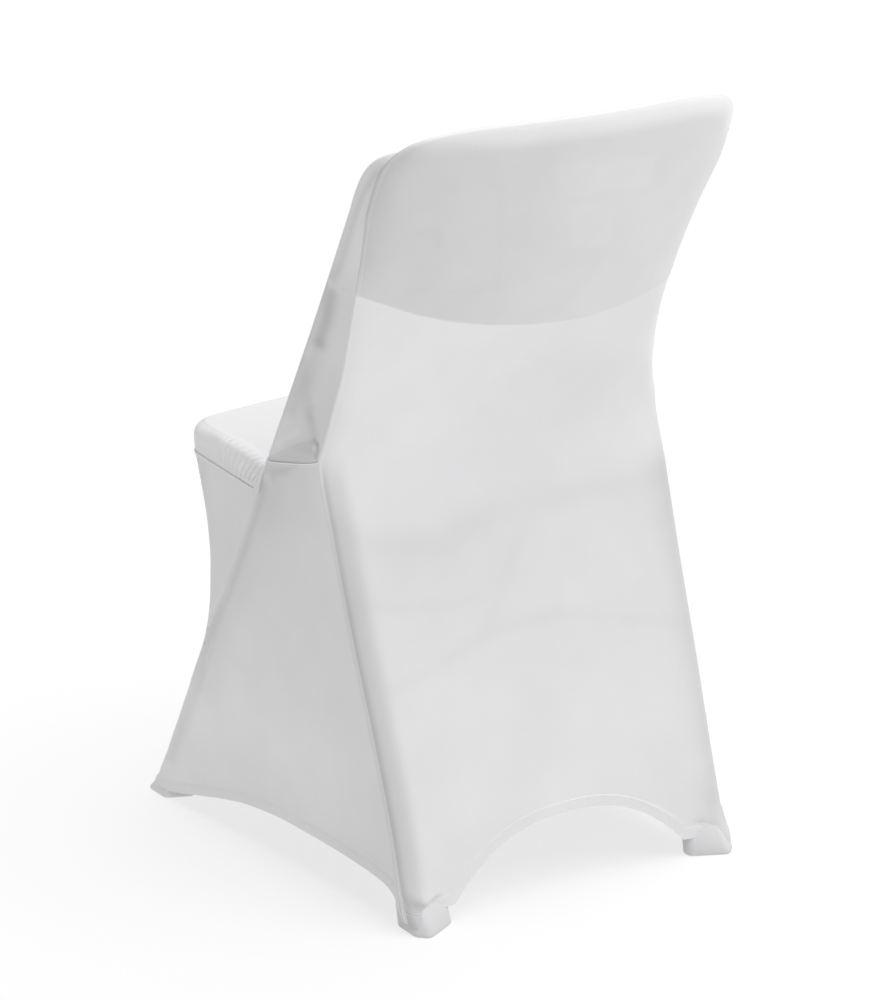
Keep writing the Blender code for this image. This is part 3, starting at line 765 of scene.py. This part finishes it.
# Pulls of the cloth down over the feet: place, reach and height, and how far the cloth moves
Pull = namedtuple("Pull", "x y reach hem top")
LIP = Pull(0.200, 0.2265, 0.015, FOOT_HEIGHT, 0.046)
LIP_MOVE = Vector((0.0010, 0.0135, -0.0120))
LIP_ROLL = 0.0014
LIP_ROLL_AT = 0.004
TOE = Pull(0.212, -0.252, 0.026, FRONT_FOOT_HEIGHT, 0.050)
TOE_DROP = 0.0060

# Seams: a sunk stitch line, with the turned edges raised beside it
SEAM_SINK = 0.0003
SEAM_SINK_WIDTH = 0.0009
RIDGE = 0.0007
RIDGE_AT = 0.0023
RIDGE_WIDTH = 0.0016
RIM_RIDGE_AT = 0.0016
# Painted highlight on the raised edge beside the back's seams
RIDGE_LIGHT = 0.10
PUCKER = 0.0004
PUCKER_SCALE = 120.0
PUCKER_WIDTH = 0.006
HEM_LIFT = 0.0006
HEM_STEP = 0.0010
FOLD_PASSES = 8
SIDE_X = 0.190
CREASE_TAPER = 0.92

# Above the ears no painted shade line runs beside the seams
LINE_TOP = 0.453
NO_LINE = 0.01


def distance_to_line(points, line):
    """Distance of each point to a line of several straight runs, and where along it, 0 to 1."""
    line = np.array(line)
    steps = np.linalg.norm(line[1:] - line[:-1], axis=1)
    run = np.concatenate([[0.0], np.cumsum(steps)])
    best = np.full(len(points), 9.0)
    where = np.zeros(len(points))
    for a, b, start, step in zip(line, line[1:], run, steps):
        t = np.clip((points - a) @ (b - a) / step**2, 0, 1)
        away = np.linalg.norm(points - a - t[:, None] * (b - a), axis=1)
        nearer = away < best
        best[nearer] = away[nearer]
        where[nearer] = (start + t[nearer] * step) / run[-1]
    return best, where


def inside_patch(points, corners, edge):
    """1 inside a convex outline, falling to 0 outside it, soft over an edge's width."""
    corners = np.array(corners)
    middle = corners.mean(axis=0)
    depth = np.full(len(points), 9.0)
    for a, b in zip(corners, np.roll(corners, -1, axis=0)):
        across = np.array([a[1] - b[1], b[0] - a[0]]) / np.linalg.norm(b - a)
        if (middle - a) @ across < 0:
            across = -across
        depth = np.minimum(depth, (points - a) @ across)
    return soften(depth / edge + 0.5)


def soften(share):
    share = np.clip(share, 0, 1)
    return share * share * (3 - 2 * share)


def fade(values, limit):
    return soften((values - limit.start) / limit.width)


def window(values, span):
    """1 between two values, and softly 0 outside them."""
    return soften((values - span.low) / span.edge + 0.5) * soften((span.high - values) / span.edge + 0.5)


def bell(distance, width):
    """1 at no distance, and softly 0 further off."""
    return np.exp(-((distance / width) ** 2))


def add_grid(shell, rows, panel):
    """Faces between rows of points, marked with the panel that they belong to."""
    grid = [[shell.verts.new(point) for point in row] for row in rows]
    for low, high in zip(grid, grid[1:]):
        for i in range(len(low) - 1):
            corners = []
            for vert in (low[i], low[i + 1], high[i + 1], high[i]):
                if all((vert.co - other.co).length > WELD for other in corners):
                    corners.append(vert)
            if len(corners) > 2:
                shell.faces.new(corners).material_index = panel


def cover_shell():
    """The outer surface of the whole cover, with every seam's points shared."""
    shell = bmesh.new()
    for panel, grids in enumerate(([back_panel_rows()], inner_panel_rows(), seat_rows(), [skirt_rows()])):
        for rows in grids:
            add_grid(shell, rows, panel)
    bmesh.ops.remove_doubles(shell, verts=shell.verts, dist=WELD)
    loose = [vert for vert in shell.verts if not vert.link_faces]
    bmesh.ops.delete(shell, geom=loose, context="VERTS")
    shift = BACKMOST - max(vert.co.y for vert in shell.verts)
    for vert in shell.verts:
        raised = smooth((vert.co.z - TILT_FROM) / (TILT_TO - TILT_FROM))
        vert.co.z += TOP_TILT * (vert.co.x + SHOULDER.x) * raised
        vert.co.y += shift
    bmesh.ops.recalc_face_normals(shell, faces=shell.faces)
    rearmost = max(shell.faces, key=lambda face: face.calc_center_median().y)
    if rearmost.normal.y < 0:
        bmesh.ops.reverse_faces(shell, faces=shell.faces)
    shell.verts.index_update()
    shell.normal_update()
    return shell


def edge_kind(edge):
    """What an edge of the shell is: hem, seam of the back panel, other seam, or plain cloth."""
    panels = {PANELS[face.material_index] for face in edge.link_faces}
    if edge.is_boundary:
        return "hem"
    if len(panels) == 1:
        return "cloth"
    return "back_seam" if "back_panel" in panels else "rim_seam"


def distance_to_edges(shell, kind):
    """Each vertex's distance to the nearest edge of one kind."""
    ends = {}
    for edge in shell.edges:
        if edge_kind(edge) == kind:
            for vert in edge.verts:
                ends.setdefault(vert.index, []).append(edge.other_vert(vert).co)
    tree = KDTree(len(ends))
    shell.verts.ensure_lookup_table()
    for index in ends:
        tree.insert(shell.verts[index].co, index)
    tree.balance()
    result = np.zeros(len(shell.verts))
    for vert in shell.verts:
        near, index, gap = tree.find(vert.co)
        for other in ends[index]:
            step = other - near
            t = clamp((vert.co - near).dot(step) / step.length_squared)
            gap = min(gap, (vert.co - near - step * t).length)
        result[vert.index] = gap
    return result


def gathers(cloth):
    """Small sewn-in folds of the seat's side, and of the skirt at its front corner."""
    y, z = cloth.maps[SIDE].T
    slant = GATHER_SLANT * fade(y, SLANT_FROM)
    phase = 2 * math.pi * (y - slant * (z - GATHER_MIDDLE)) / GATHER_PITCH
    seat = GATHER_DEPTH * np.cos(phase) * window(y, GATHER_SPAN) * window(z, GATHER_RISE)
    pleats = PLEAT_DEPTH * np.cos(2 * math.pi * y / PLEAT_PITCH)
    pleats *= window(y, PLEAT_SPAN) * fade(z, PLEAT_FROM)
    return np.where(cloth.kinds == "seat_panel", seat, np.where(cloth.kinds == "skirt", pleats, 0.0))


# Measures of the shell's points, one value for each
Cloth = namedtuple("Cloth", "points kinds maps masks back_seam rim_seam hem seam board")


def measure_shell(shell):
    """Where each of the shell's points lies, and how far it is from seams, hems and the board's edge."""
    points = np.array([vert.co for vert in shell.verts])
    kinds = np.array([PANELS[min(face.material_index for face in vert.link_faces)] for vert in shell.verts])
    side_places = points[:, [1, 2]]
    maps = {BACK: points[:, [0, 2]], SIDE: side_places, WING: side_places}
    masks = {BACK: kinds == "back_panel"}
    masks[SIDE] = ~masks[BACK] & (abs(points[:, 0]) > SIDE_X)
    masks[WING] = masks[SIDE] & (kinds == "inner_back_panel")
    back_seam, rim_seam, hem = (distance_to_edges(shell, kind) for kind in ("back_seam", "rim_seam", "hem"))
    edge = np.array(sorted(BOARD_EDGE))
    height = points[:, 2] - np.interp(points[:, 0], edge[:, 0], edge[:, 1])
    board = np.where(masks[BACK], height, -1.0)
    return Cloth(points, kinds, maps, masks, back_seam, rim_seam, hem, np.minimum(back_seam, rim_seam), board)


def foot_pull(points, pull):
    """How near each point is to a foot, and how far it is drawn down there, 0 to 1."""
    x, y, z = points.T
    near = bell(np.hypot(abs(x) - pull.x, y - pull.y), pull.reach)
    return near, near * np.clip((pull.top - z) / (pull.top - pull.hem), 0, 1)


def cloth_lift(shell, cloth):
    """How far each point stands out along its normal."""
    lift = -SEAM_SINK * bell(cloth.seam, SEAM_SINK_WIDTH)
    lift += RIDGE * bell(cloth.back_seam - RIDGE_AT, RIDGE_WIDTH) * cloth.masks[BACK]
    lift += RIDGE * bell(cloth.rim_seam - RIM_RIDGE_AT, RIDGE_WIDTH) * (cloth.kinds == "skirt")
    rough = np.array([noise.noise(vert.co * PUCKER_SCALE) for vert in shell.verts])
    lift += PUCKER * rough * bell(cloth.seam, PUCKER_WIDTH)
    lift += HEM_LIFT * np.clip((HEM_WIDTH - cloth.hem) / HEM_STEP, 0, 1)
    lift += gathers(cloth) * cloth.masks[SIDE]
    lift += BOARD_LIFT * soften(cloth.board / BOARD_STEP + 0.5)
    for crease in CREASES:
        away, where = distance_to_line(cloth.maps[crease.map], crease.points)
        taper = np.sin(math.pi * (0.5 + (where - 0.5) * CREASE_TAPER)) ** 0.5
        lift += crease.amount * taper * bell(away, crease.width) * cloth.masks[crease.map]
    near_foot, _ = foot_pull(cloth.points, LIP)
    return lift + LIP_ROLL * near_foot * bell(cloth.hem - LIP_ROLL_AT, LIP_ROLL_AT)


def cloth_shade(cloth):
    """How much painted shade each point has (below 0, painted light), and how much more painted shade it has
    above the board's edge.
    """
    x, _, z = cloth.points.T
    back, side, seam = cloth.masks[BACK], cloth.masks[SIDE], cloth.back_seam
    shade = np.zeros(len(x))
    # Painted shade and painted light along the lines of SHADES
    for line in SHADES:
        away, _ = distance_to_line(cloth.maps[line.map], line.points)
        shade += line.amount * bell(away, line.width) * cloth.masks[line.map]
    # Painted shade and painted light inside the patches
    for area in SHADE_PATCHES:
        inside = inside_patch(cloth.maps[area.map], area.corners, area.edge)
        shade += area.amount * inside * cloth.masks[area.map]
    # Painted shade beside the seams over the rear legs
    legs = window(z, LEG_SPAN) * fade(seam, LEG_BAND)
    legs *= 1 - 0.5 * fade(seam, LEG_HALF) - 0.5 * fade(seam, LEG_END)
    shade += legs * np.where(x > 0, LEG_DARK, FAR_LEG_DARK) * back
    # Painted highlight beside the back's seams
    shade -= RIDGE_LIGHT * bell(seam - RIDGE_AT, RIDGE_WIDTH) * back
    # Painted shade in the gusset's tuck under the top seam
    shade += TUCK_DARK * window(seam, TUCK_SPAN) * fade(z, TUCK_FROM) * side
    # Painted shade on the backrest beside its near seam
    corner = fade(x, SIDE_DARK_FROM) * np.exp(-seam / SIDE_DARK_REACH)
    shade += SIDE_DARK * corner * fade(cloth.board, BOARD_FROM) * back
    # Painted highlight along the rolled top edge
    band = mix(0.5, 1.0, fade(x, TOP_BAND_WIDER)) * TOP_BAND
    band = soften((band - seam) / TOP_BAND_EDGE + 0.5) * fade(x, TOP_BAND_END)
    shade -= TOP_LIGHT * fade(z, TOP_FROM) * band * back
    # Painted light round the waist, and painted shade above the board's edge
    near = fade(x, NEAR_SIDE)
    waist = WAIST_LIGHT * window(z, WAIST_SPAN) * mix(WAIST_FAR, 1.0, near) * back
    return shade - waist, BOARD_DARK * near * back + waist


def crease_shell(shell):
    """Moves the shell's points, and gives each its values for the cloth."""
    cloth = measure_shell(shell)
    shade, veil = cloth_shade(cloth)
    lifts = cloth_lift(shell, cloth)
    lips, toes = (foot_pull(cloth.points, pull)[1] for pull in (LIP, TOE))
    for vert, lift, lip, toe in zip(shell.verts, lifts, lips, toes):
        vert.co -= Vector((0, LEG_SLOPE, 1)) * (TOE_DROP * toe)
        vert.co += vert.normal * lift
        vert.co += Vector((math.copysign(LIP_MOVE.x, vert.co.x), LIP_MOVE.y, LIP_MOVE.z)) * lip
    low_front = [vert for vert in shell.verts if vert.co.y < 0 and vert.co.z < FRONT_SPLIT]
    folded = [vert for vert in low_front if abs(vert.co.x) > SIDE_X]
    for _ in range(FOLD_PASSES):
        bmesh.ops.smooth_vert(shell, verts=folded, factor=0.5, use_axis_x=True, use_axis_y=True)
    shell.normal_update()
    seam = cloth.seam + NO_LINE * (cloth.points[:, 2] > LINE_TOP) * cloth.masks[SIDE]
    return {**cloth._asdict(), "seam": seam, "veil": veil, "shade": shade}


# Values that the cloth's material reads, as they are where no seam, board or shade is near
PLAIN_VALUES = {"seam": 0.05, "board": -1.0, "veil": 0.0, "shade": 0.0}


def pull_from_seam(vert, faces):
    """A small step from a seam into the panel, which leaves the stitched gap."""
    middle = Vector((0, 0, 0))
    for face in faces:
        middle += face.calc_center_median()
    inward = middle / len(faces) - vert.co
    rim = [e for e in vert.link_edges if sum(f in faces for f in e.link_faces) == 1]
    if len(rim) == 2:
        along = rim[0].other_vert(vert).co - rim[1].other_vert(vert).co
        along.normalize()
        inward -= along * inward.dot(along)
    return inward.normalized() * SEAM_PULL


def panel_mesh(shell, panel, values):
    """One panel of the shell as a closed sheet, with the shell's values as attributes."""
    own = [face for face in shell.faces if face.material_index == panel]
    own_set = set(own)
    sheet = bmesh.new()
    layers = {name: sheet.verts.layers.float.new(name) for name in PLAIN_VALUES}
    outer, inner = {}, {}
    for vert in {v: None for face in own for v in face.verts}:
        faces = [face for face in vert.link_faces if face in own_set]
        shift = Vector((0, 0, 0))
        if len(faces) < len(vert.link_faces):
            shift = pull_from_seam(vert, faces)
        in_hem = clamp((HEM_WIDTH - values["hem"][vert.index]) / HEM_STEP)
        cloth = mix(CLOTH, HEM_CLOTH, in_hem)
        depth = vert.normal * cloth * min(vert.calc_shell_factor(), MITRE_LIMIT)
        if any(edge.is_boundary for edge in vert.link_edges):
            depth.z = 0.0
        outer[vert] = sheet.verts.new(vert.co + shift)
        inner[vert] = sheet.verts.new(vert.co + shift - depth)
        for name, layer in layers.items():
            outer[vert][layer] = inner[vert][layer] = values[name][vert.index]
    for face in own:
        sheet.faces.new([outer[v] for v in face.verts])
        sheet.faces.new([inner[v] for v in reversed(face.verts)])
        for loop in face.loops:
            if sum(f in own_set for f in loop.edge.link_faces) == 1:
                a, b = loop.vert, loop.link_loop_next.vert
                sheet.faces.new([outer[b], outer[a], inner[a], inner[b]])
    sheet.normal_update()
    return sheet


def pocket_ring(corners, share, inset, z):
    """A ring round a pocket's plan outline, with its corners rounded and drawn in by inset."""
    points = []
    for c in corners:
        points.append(Vector((mix(c.sole_x, c.rim_x, share), mix(c.sole_y, c.rim_y, share), z)))
    radius = POCKET_R - inset
    ring = []
    for before, corner, after in zip(points[-1:] + points[:-1], points, points[1:] + points[:1]):
        a, b = (before - corner).normalized(), (after - corner).normalized()
        half = a.angle(b) / 2
        centre = corner + (a + b).normalized() * (POCKET_R / math.sin(half))
        first = (corner + a * POCKET_R / math.tan(half) - centre).normalized()
        last = (corner + b * POCKET_R / math.tan(half) - centre).normalized()
        for step in range(POCKET_STEPS + 1):
            ring.append(centre + first.slerp(last, step / POCKET_STEPS) * radius)
    return ring


def add_ring(mesh_data, middle, across, out, radius, sides):
    """A ring of points round a thread or cord."""
    ring = []
    for k in range(sides):
        angle = 2 * math.pi * k / sides
        offset = across * math.cos(angle) + out * math.sin(angle)
        ring.append(mesh_data.verts.new(middle + offset * radius))
    return ring


def join_rings(mesh_data, rings):
    """Faces between rings of points, closed at both ends."""
    for low, high in zip(rings, rings[1:]):
        for k in range(len(low)):
            m = (k + 1) % len(low)
            mesh_data.faces.new([low[k], high[k], high[m], low[m]])
    mesh_data.faces.new(rings[0])
    mesh_data.faces.new(rings[-1][::-1])


def pocket_mesh(corners, height, dark, side):
    """A cup for one foot: flat sole, rounded lower edge, open at the top."""
    sheet = bmesh.new()
    layers = {name: sheet.verts.layers.float.new(name) for name in PLAIN_VALUES}
    rings = []
    for k in range(POCKET_STEPS + 1):
        angle = math.pi / 2 * k / POCKET_STEPS
        inset = POCKET_ROUND * (1 - math.sin(angle))
        z = POCKET_ROUND * (1 - math.cos(angle))
        rings.append(pocket_ring(corners, ROUND_SHARE * k / POCKET_STEPS, inset, z))
    for k in range(1, POCKET_STEPS + 1):
        up = k / POCKET_STEPS
        rings.append(pocket_ring(corners, mix(ROUND_SHARE, 1.0, up), 0.0, mix(POCKET_ROUND, height, up)))
    rings.append(pocket_ring(corners, 1.0, POCKET_CLOTH, height))
    rings.append(pocket_ring(corners, INNER_SHARE, POCKET_CLOTH, POCKET_ROUND + POCKET_CLOTH))
    rings.append(pocket_ring(corners, ROUND_SHARE, POCKET_ROUND + POCKET_CLOTH, POCKET_CLOTH))
    grid = []
    for ring in rings:
        grid.append([sheet.verts.new((side * p.x, p.y + POCKET_MOVE, p.z)) for p in ring])
    for vert in sheet.verts:
        for name, layer in layers.items():
            vert[layer] = PLAIN_VALUES[name]
        # Painted shade towards the sole, painted light where dark is below 0
        vert[layers["shade"]] = dark * clamp(1 - vert.co.z / SOLE_BAND)
    join_rings(sheet, grid)
    if side > 0:
        bmesh.ops.reverse_faces(sheet, faces=sheet.faces)
    sheet.normal_update()
    return sheet


# Knit, seen close: courses and wales of the stretch cloth
RIB_SCALE = 45.4545
COURSE_SCALE = 64.9351
PANEL_TONE = (0.80, 0.80, 0.81)
POCKET_TONE = (0.72, 0.72, 0.73)
THREAD_TONE = (0.86, 0.86, 0.87)


def set_inputs(made, values):
    for name, value in values.items():
        made.inputs[name].default_value = value


def new_material(name):
    """A new material, with its nodes and its shader."""
    material = bpy.data.materials.new(name)
    material.use_nodes = True
    return material, material.node_tree, material.node_tree.nodes["Principled BSDF"]


def node(tree, kind, values=None, **settings):
    """A shader node with its settings, its inputs' values and the sockets that feed it."""
    made = tree.nodes.new("ShaderNode" + kind)
    for name, value in settings.items():
        setattr(made, name, value)
    for name, value in (values or {}).items():
        if isinstance(value, bpy.types.NodeSocket):
            tree.links.new(value, made.inputs[name])
        else:
            made.inputs[name].default_value = value
    return made


def maths(tree, operation, *values):
    """The outcome of a sum on numbers and other nodes' outcomes."""
    return node(tree, "Math", dict(enumerate(values)), operation=operation).outputs[0]


def cloth_material(name, tone):
    """Matt stretch knit: fine ribs, faint blotches, painted shade beside seams, and painted shadows and light
    from the shell's values.
    """
    material, tree, shader = new_material(name)
    set_inputs(shader, {"Roughness": 0.72, "Specular IOR Level": 0.25,
                        "Sheen Weight": 0.12, "Sheen Roughness": 0.45})
    place = node(tree, "TexCoord").outputs["Object"]
    readers = [node(tree, "Attribute", attribute_name=key) for key in PLAIN_VALUES]
    seam, board, veil, shade = (reader.outputs["Fac"] for reader in readers)
    blotch = node(tree, "TexNoise", {"Scale": 14.0, "Detail": 3.0, "Vector": place})
    tint = node(tree, "MapRange", {"Value": blotch.outputs["Fac"], "From Min": 0.3, "From Max": 0.7,
                                   "To Min": 0.975, "To Max": 1.015})
    # Painted shade in a thin line along the seams
    line = node(tree, "MapRange", {"Value": seam, "From Min": 0.0, "From Max": 0.0012,
                                   "To Min": 0.86, "To Max": 1.0})
    above = node(tree, "MapRange", {"Value": board, "From Min": -0.0015, "From Max": 0.0015},
                 interpolation_type="SMOOTHSTEP")
    # Painted shade and painted light: the board's shade above its edge plus the shell's shade
    behind = maths(tree, "MULTIPLY_ADD", above.outputs["Result"], veil, shade)
    light = maths(tree, "SUBTRACT", 1.0, behind)
    both = maths(tree, "MULTIPLY", tint.outputs["Result"], line.outputs["Result"])
    whole = maths(tree, "MULTIPLY", both, light)
    colour = node(tree, "VectorMath", {0: tone, "Scale": whole}, operation="SCALE")
    tree.links.new(colour.outputs[0], shader.inputs["Base Color"])
    ribs = node(tree, "TexWave", {"Scale": RIB_SCALE, "Distortion": 0.6, "Vector": place},
                bands_direction="X")
    courses = node(tree, "TexWave", {"Scale": COURSE_SCALE, "Distortion": 0.6, "Vector": place},
                   bands_direction="Z")
    knit = maths(tree, "MULTIPLY", ribs.outputs["Fac"], courses.outputs["Fac"])
    wrinkle = node(tree, "TexNoise", {"Scale": 28.0, "Detail": 2.0, "Vector": place})
    soft = node(tree, "Bump", {"Strength": 0.3, "Distance": 0.0006, "Height": wrinkle.outputs["Fac"]})
    bump = node(tree, "Bump", {"Strength": 0.12, "Distance": 0.0003, "Height": knit,
                               "Normal": soft.outputs["Normal"]})
    tree.links.new(bump.outputs["Normal"], shader.inputs["Normal"])
    return material


def thread_material():
    """Slightly glossy sewing thread, twisted."""
    material, tree, shader = new_material("thread")
    set_inputs(shader, {"Base Color": (*THREAD_TONE, 1.0), "Roughness": 0.55, "Sheen Weight": 0.1})
    place = node(tree, "TexCoord").outputs["Object"]
    twist = node(tree, "TexWave", {"Scale": 900.0, "Vector": place}, bands_direction="DIAGONAL")
    bump = node(tree, "Bump", {"Strength": 0.3, "Distance": 0.00005, "Height": twist.outputs["Fac"]})
    tree.links.new(bump.outputs["Normal"], shader.inputs["Normal"])
    return material


def add_object(name, data):
    made = bpy.data.objects.new(name, data)
    bpy.context.scene.collection.objects.link(made)
    return made


def add_piece(name, mesh_data, material, node_name):
    mesh = bpy.data.meshes.new(name)
    mesh_data.to_mesh(mesh)
    mesh_data.free()
    mesh.materials.append(material)
    mesh.shade_smooth()
    mesh.set_sharp_from_angle(angle=math.radians(SHARP_ANGLE))
    piece = add_object(name, mesh)
    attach(piece, "root")
    if node_name:
        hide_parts(node_name)
    return piece


# Stitches: two rows along each hem, one beside the back's seams and one under the seat's rim
STITCH = 0.0022
STITCH_PITCH = 0.0032
STITCH_R = 0.00022
HEM_ROWS = (0.0082, 0.0104)
BACK_SEAM_ROW = 0.0044
RIM_SEAM_ROW = 0.0036
STITCH_SIDES = 5

# A stitch's rings: place along it, size, and height over the cloth
STITCH_RINGS = ((-0.5, 0.5, -0.4), (-0.3, 1.0, 0.4), (0.3, 1.0, 0.4), (0.5, 0.5, -0.4))

# Piping cord under the rim of the seat and along the raised side seams
CORD_AT = 0.0008
CORD_R = 0.0008
CORD_PITCH = 0.0016
CORD_SIDES = 8


def contour(shell, panel, values, level):
    """Lines of points and normals where a value has one level on a panel, in order."""
    links = {}
    for face in shell.faces:
        if PANELS[face.material_index] == panel:
            crossed = []
            for edge in face.edges:
                a, b = (values[vert.index] for vert in edge.verts)
                if (a < level) != (b < level):
                    crossed.append(edge)
            if len(crossed) == 2:
                links.setdefault(crossed[0], []).append(crossed[1])
                links.setdefault(crossed[1], []).append(crossed[0])
    lines = []
    left = dict.fromkeys(sorted(links, key=lambda edge: (len(links[edge]), edge.index)))
    while left:
        edge = next(iter(left))
        line = []
        while edge is not None:
            del left[edge]
            a, b = edge.verts
            share = (level - values[a.index]) / (values[b.index] - values[a.index])
            line.append((a.co.lerp(b.co, share), a.normal.lerp(b.normal, share).normalized()))
            edge = next((other for other in links[edge] if other in left), None)
        lines.append(line)
    return lines


def even_points(line, pitch, first):
    """Points at an even pitch along a line, with its normal and direction at each."""
    points, done, due = [], 0.0, first
    for (a, a_normal), (b, b_normal) in zip(line, line[1:]):
        step = (b - a).length
        while due < done + step:
            share = (due - done) / step
            normal = a_normal.lerp(b_normal, share).normalized()
            points.append((a.lerp(b, share), normal, (b - a).normalized()))
            due += pitch
        done += step
    return points


def sew(mesh_data, lines):
    """Stitches at an even pitch along lines: short threads on the cloth, with their ends dipping in."""
    for line in lines:
        for middle, normal, along in even_points(line, STITCH_PITCH, STITCH_PITCH / 2):
            across = along.cross(normal).normalized()
            rings = []
            for place, size, height in STITCH_RINGS:
                centre = middle + along * (STITCH * place) + normal * (STITCH_R * height)
                rings.append(add_ring(mesh_data, centre, across, normal, STITCH_R * size, STITCH_SIDES))
            join_rings(mesh_data, rings)


def add_cord(mesh_data, line):
    """A round cord along a line of points and normals."""
    points = even_points(line, CORD_PITCH, 0.0)
    if len(points) < 4:
        return
    rings = []
    for i, (middle, normal, _) in enumerate(points):
        along = points[min(i + 1, len(points) - 1)][0] - points[max(i - 1, 0)][0]
        across = along.cross(normal).normalized()
        out = across.cross(along).normalized()
        rings.append(add_ring(mesh_data, middle, across, out, CORD_R, CORD_SIDES))
    join_rings(mesh_data, rings)


def add_stitches(shell, values, thread):
    """Stitches of the hems and seams, and the piping, each joined to one piece."""
    hem_thread, seam_thread, cord = bmesh.new(), bmesh.new(), bmesh.new()
    for line in contour(shell, "skirt", values["rim_seam"], CORD_AT):
        add_cord(cord, line)
    add_piece("seam_piping", cord, thread, None)
    for panel in ("back_panel", "skirt"):
        for row in HEM_ROWS:
            sew(hem_thread, contour(shell, panel, values["hem"], row))
    sew(seam_thread, contour(shell, "back_panel", values["back_seam"], BACK_SEAM_ROW))
    sew(seam_thread, contour(shell, "skirt", values["rim_seam"], RIM_SEAM_ROW))
    add_piece("hem_stitches", hem_thread, thread, None)
    add_piece("seam_stitches", seam_thread, thread, None)


def build_cover():
    panel_cloth = cloth_material("panel_knit", PANEL_TONE)
    pocket_cloth = cloth_material("pocket_knit", POCKET_TONE)
    shell = cover_shell()
    values = crease_shell(shell)
    sheets = {}
    for index, name in enumerate(PANELS):
        mesh_data = panel_mesh(shell, index, values)
        sheets[name] = add_piece(name + "_cloth", mesh_data, panel_cloth, name)
    add_stitches(shell, values, thread_material())
    shell.free()
    for side, hand in ((1, "left"), (-1, "right")):
        for end, corners, height, dark in (("rear", REAR_BOOT, REAR_BOOT_HEIGHT, REAR_SOLE_DARK),
                                           ("front", FRONT_BOOT, FRONT_BOOT_HEIGHT, FRONT_SOLE_DARK)):
            name = "foot_pocket_" + end + "_" + hand
            mesh_data = pocket_mesh(corners, height, dark, side)
            sheets[name] = add_piece(name + "_cloth", mesh_data, pocket_cloth, name)
    return sheets


# Cut sizes before the cloth was stretched: width, length and flat area
Cut = namedtuple("Cut", "width length area")


# Photograph's view
CAMERA_PLACE = Vector((3.037, 4.3952, 2.255))
CAMERA_AIM = Vector((-0.5354, -0.7763, -0.3326))
CAMERA_LENS = 190.37
SENSOR = 36.0


def build_camera():
    lens = bpy.data.cameras.new("camera")
    lens.lens = CAMERA_LENS
    lens.sensor_width = SENSOR
    lens.sensor_fit = "AUTO"
    lens.clip_end = 100.0
    camera = add_object("camera", lens)
    camera.location = CAMERA_PLACE
    camera.rotation_mode = "QUATERNION"
    camera.rotation_quaternion = CAMERA_AIM.to_track_quat("-Z", "Y")
    bpy.context.scene.camera = camera


# Studio: white sky and one soft overhead light, over a white floor that glows a little
SKY_STRENGTH = 0.39
SUN_TOWARDS = Vector((-0.21, 0.17, 0.72))
SUN_STRENGTH = 2.35
SUN_SOFTNESS = 70
FLOOR_HALF = 30.0
FLOOR_TONE = 0.28
FLOOR_GLOW = 0.695
WHITE = (1.0, 1.0, 1.0, 1.0)


def build_lights():
    bpy.context.scene.view_settings.view_transform = "Standard"
    world = bpy.data.worlds.new("studio")
    world.use_nodes = True
    set_inputs(world.node_tree.nodes["Background"], {"Color": WHITE, "Strength": SKY_STRENGTH})
    bpy.context.scene.world = world
    lamp = bpy.data.lights.new("overhead", "SUN")
    lamp.energy = SUN_STRENGTH
    lamp.angle = math.radians(SUN_SOFTNESS)
    light = add_object("overhead", lamp)
    light.rotation_mode = "QUATERNION"
    light.rotation_quaternion = SUN_TOWARDS.to_track_quat("Z", "Y")


def build_floor():
    mesh = bpy.data.meshes.new("floor")
    corners = [(x * FLOOR_HALF, y * FLOOR_HALF, 0) for x, y in ((-1, -1), (1, -1), (1, 1), (-1, 1))]
    mesh.from_pydata(corners, [], [(0, 1, 2, 3)])
    floor = add_object("floor", mesh)
    material, _, shader = new_material("floor")
    set_inputs(shader, {"Base Color": (FLOOR_TONE, FLOOR_TONE, FLOOR_TONE, 1.0), "Emission Color": WHITE,
                        "Emission Strength": FLOOR_GLOW, "Roughness": 0.9, "Specular IOR Level": 0.1})
    mesh.materials.append(material)


sheets = build_cover()
build_camera()
build_lights()
build_floor()
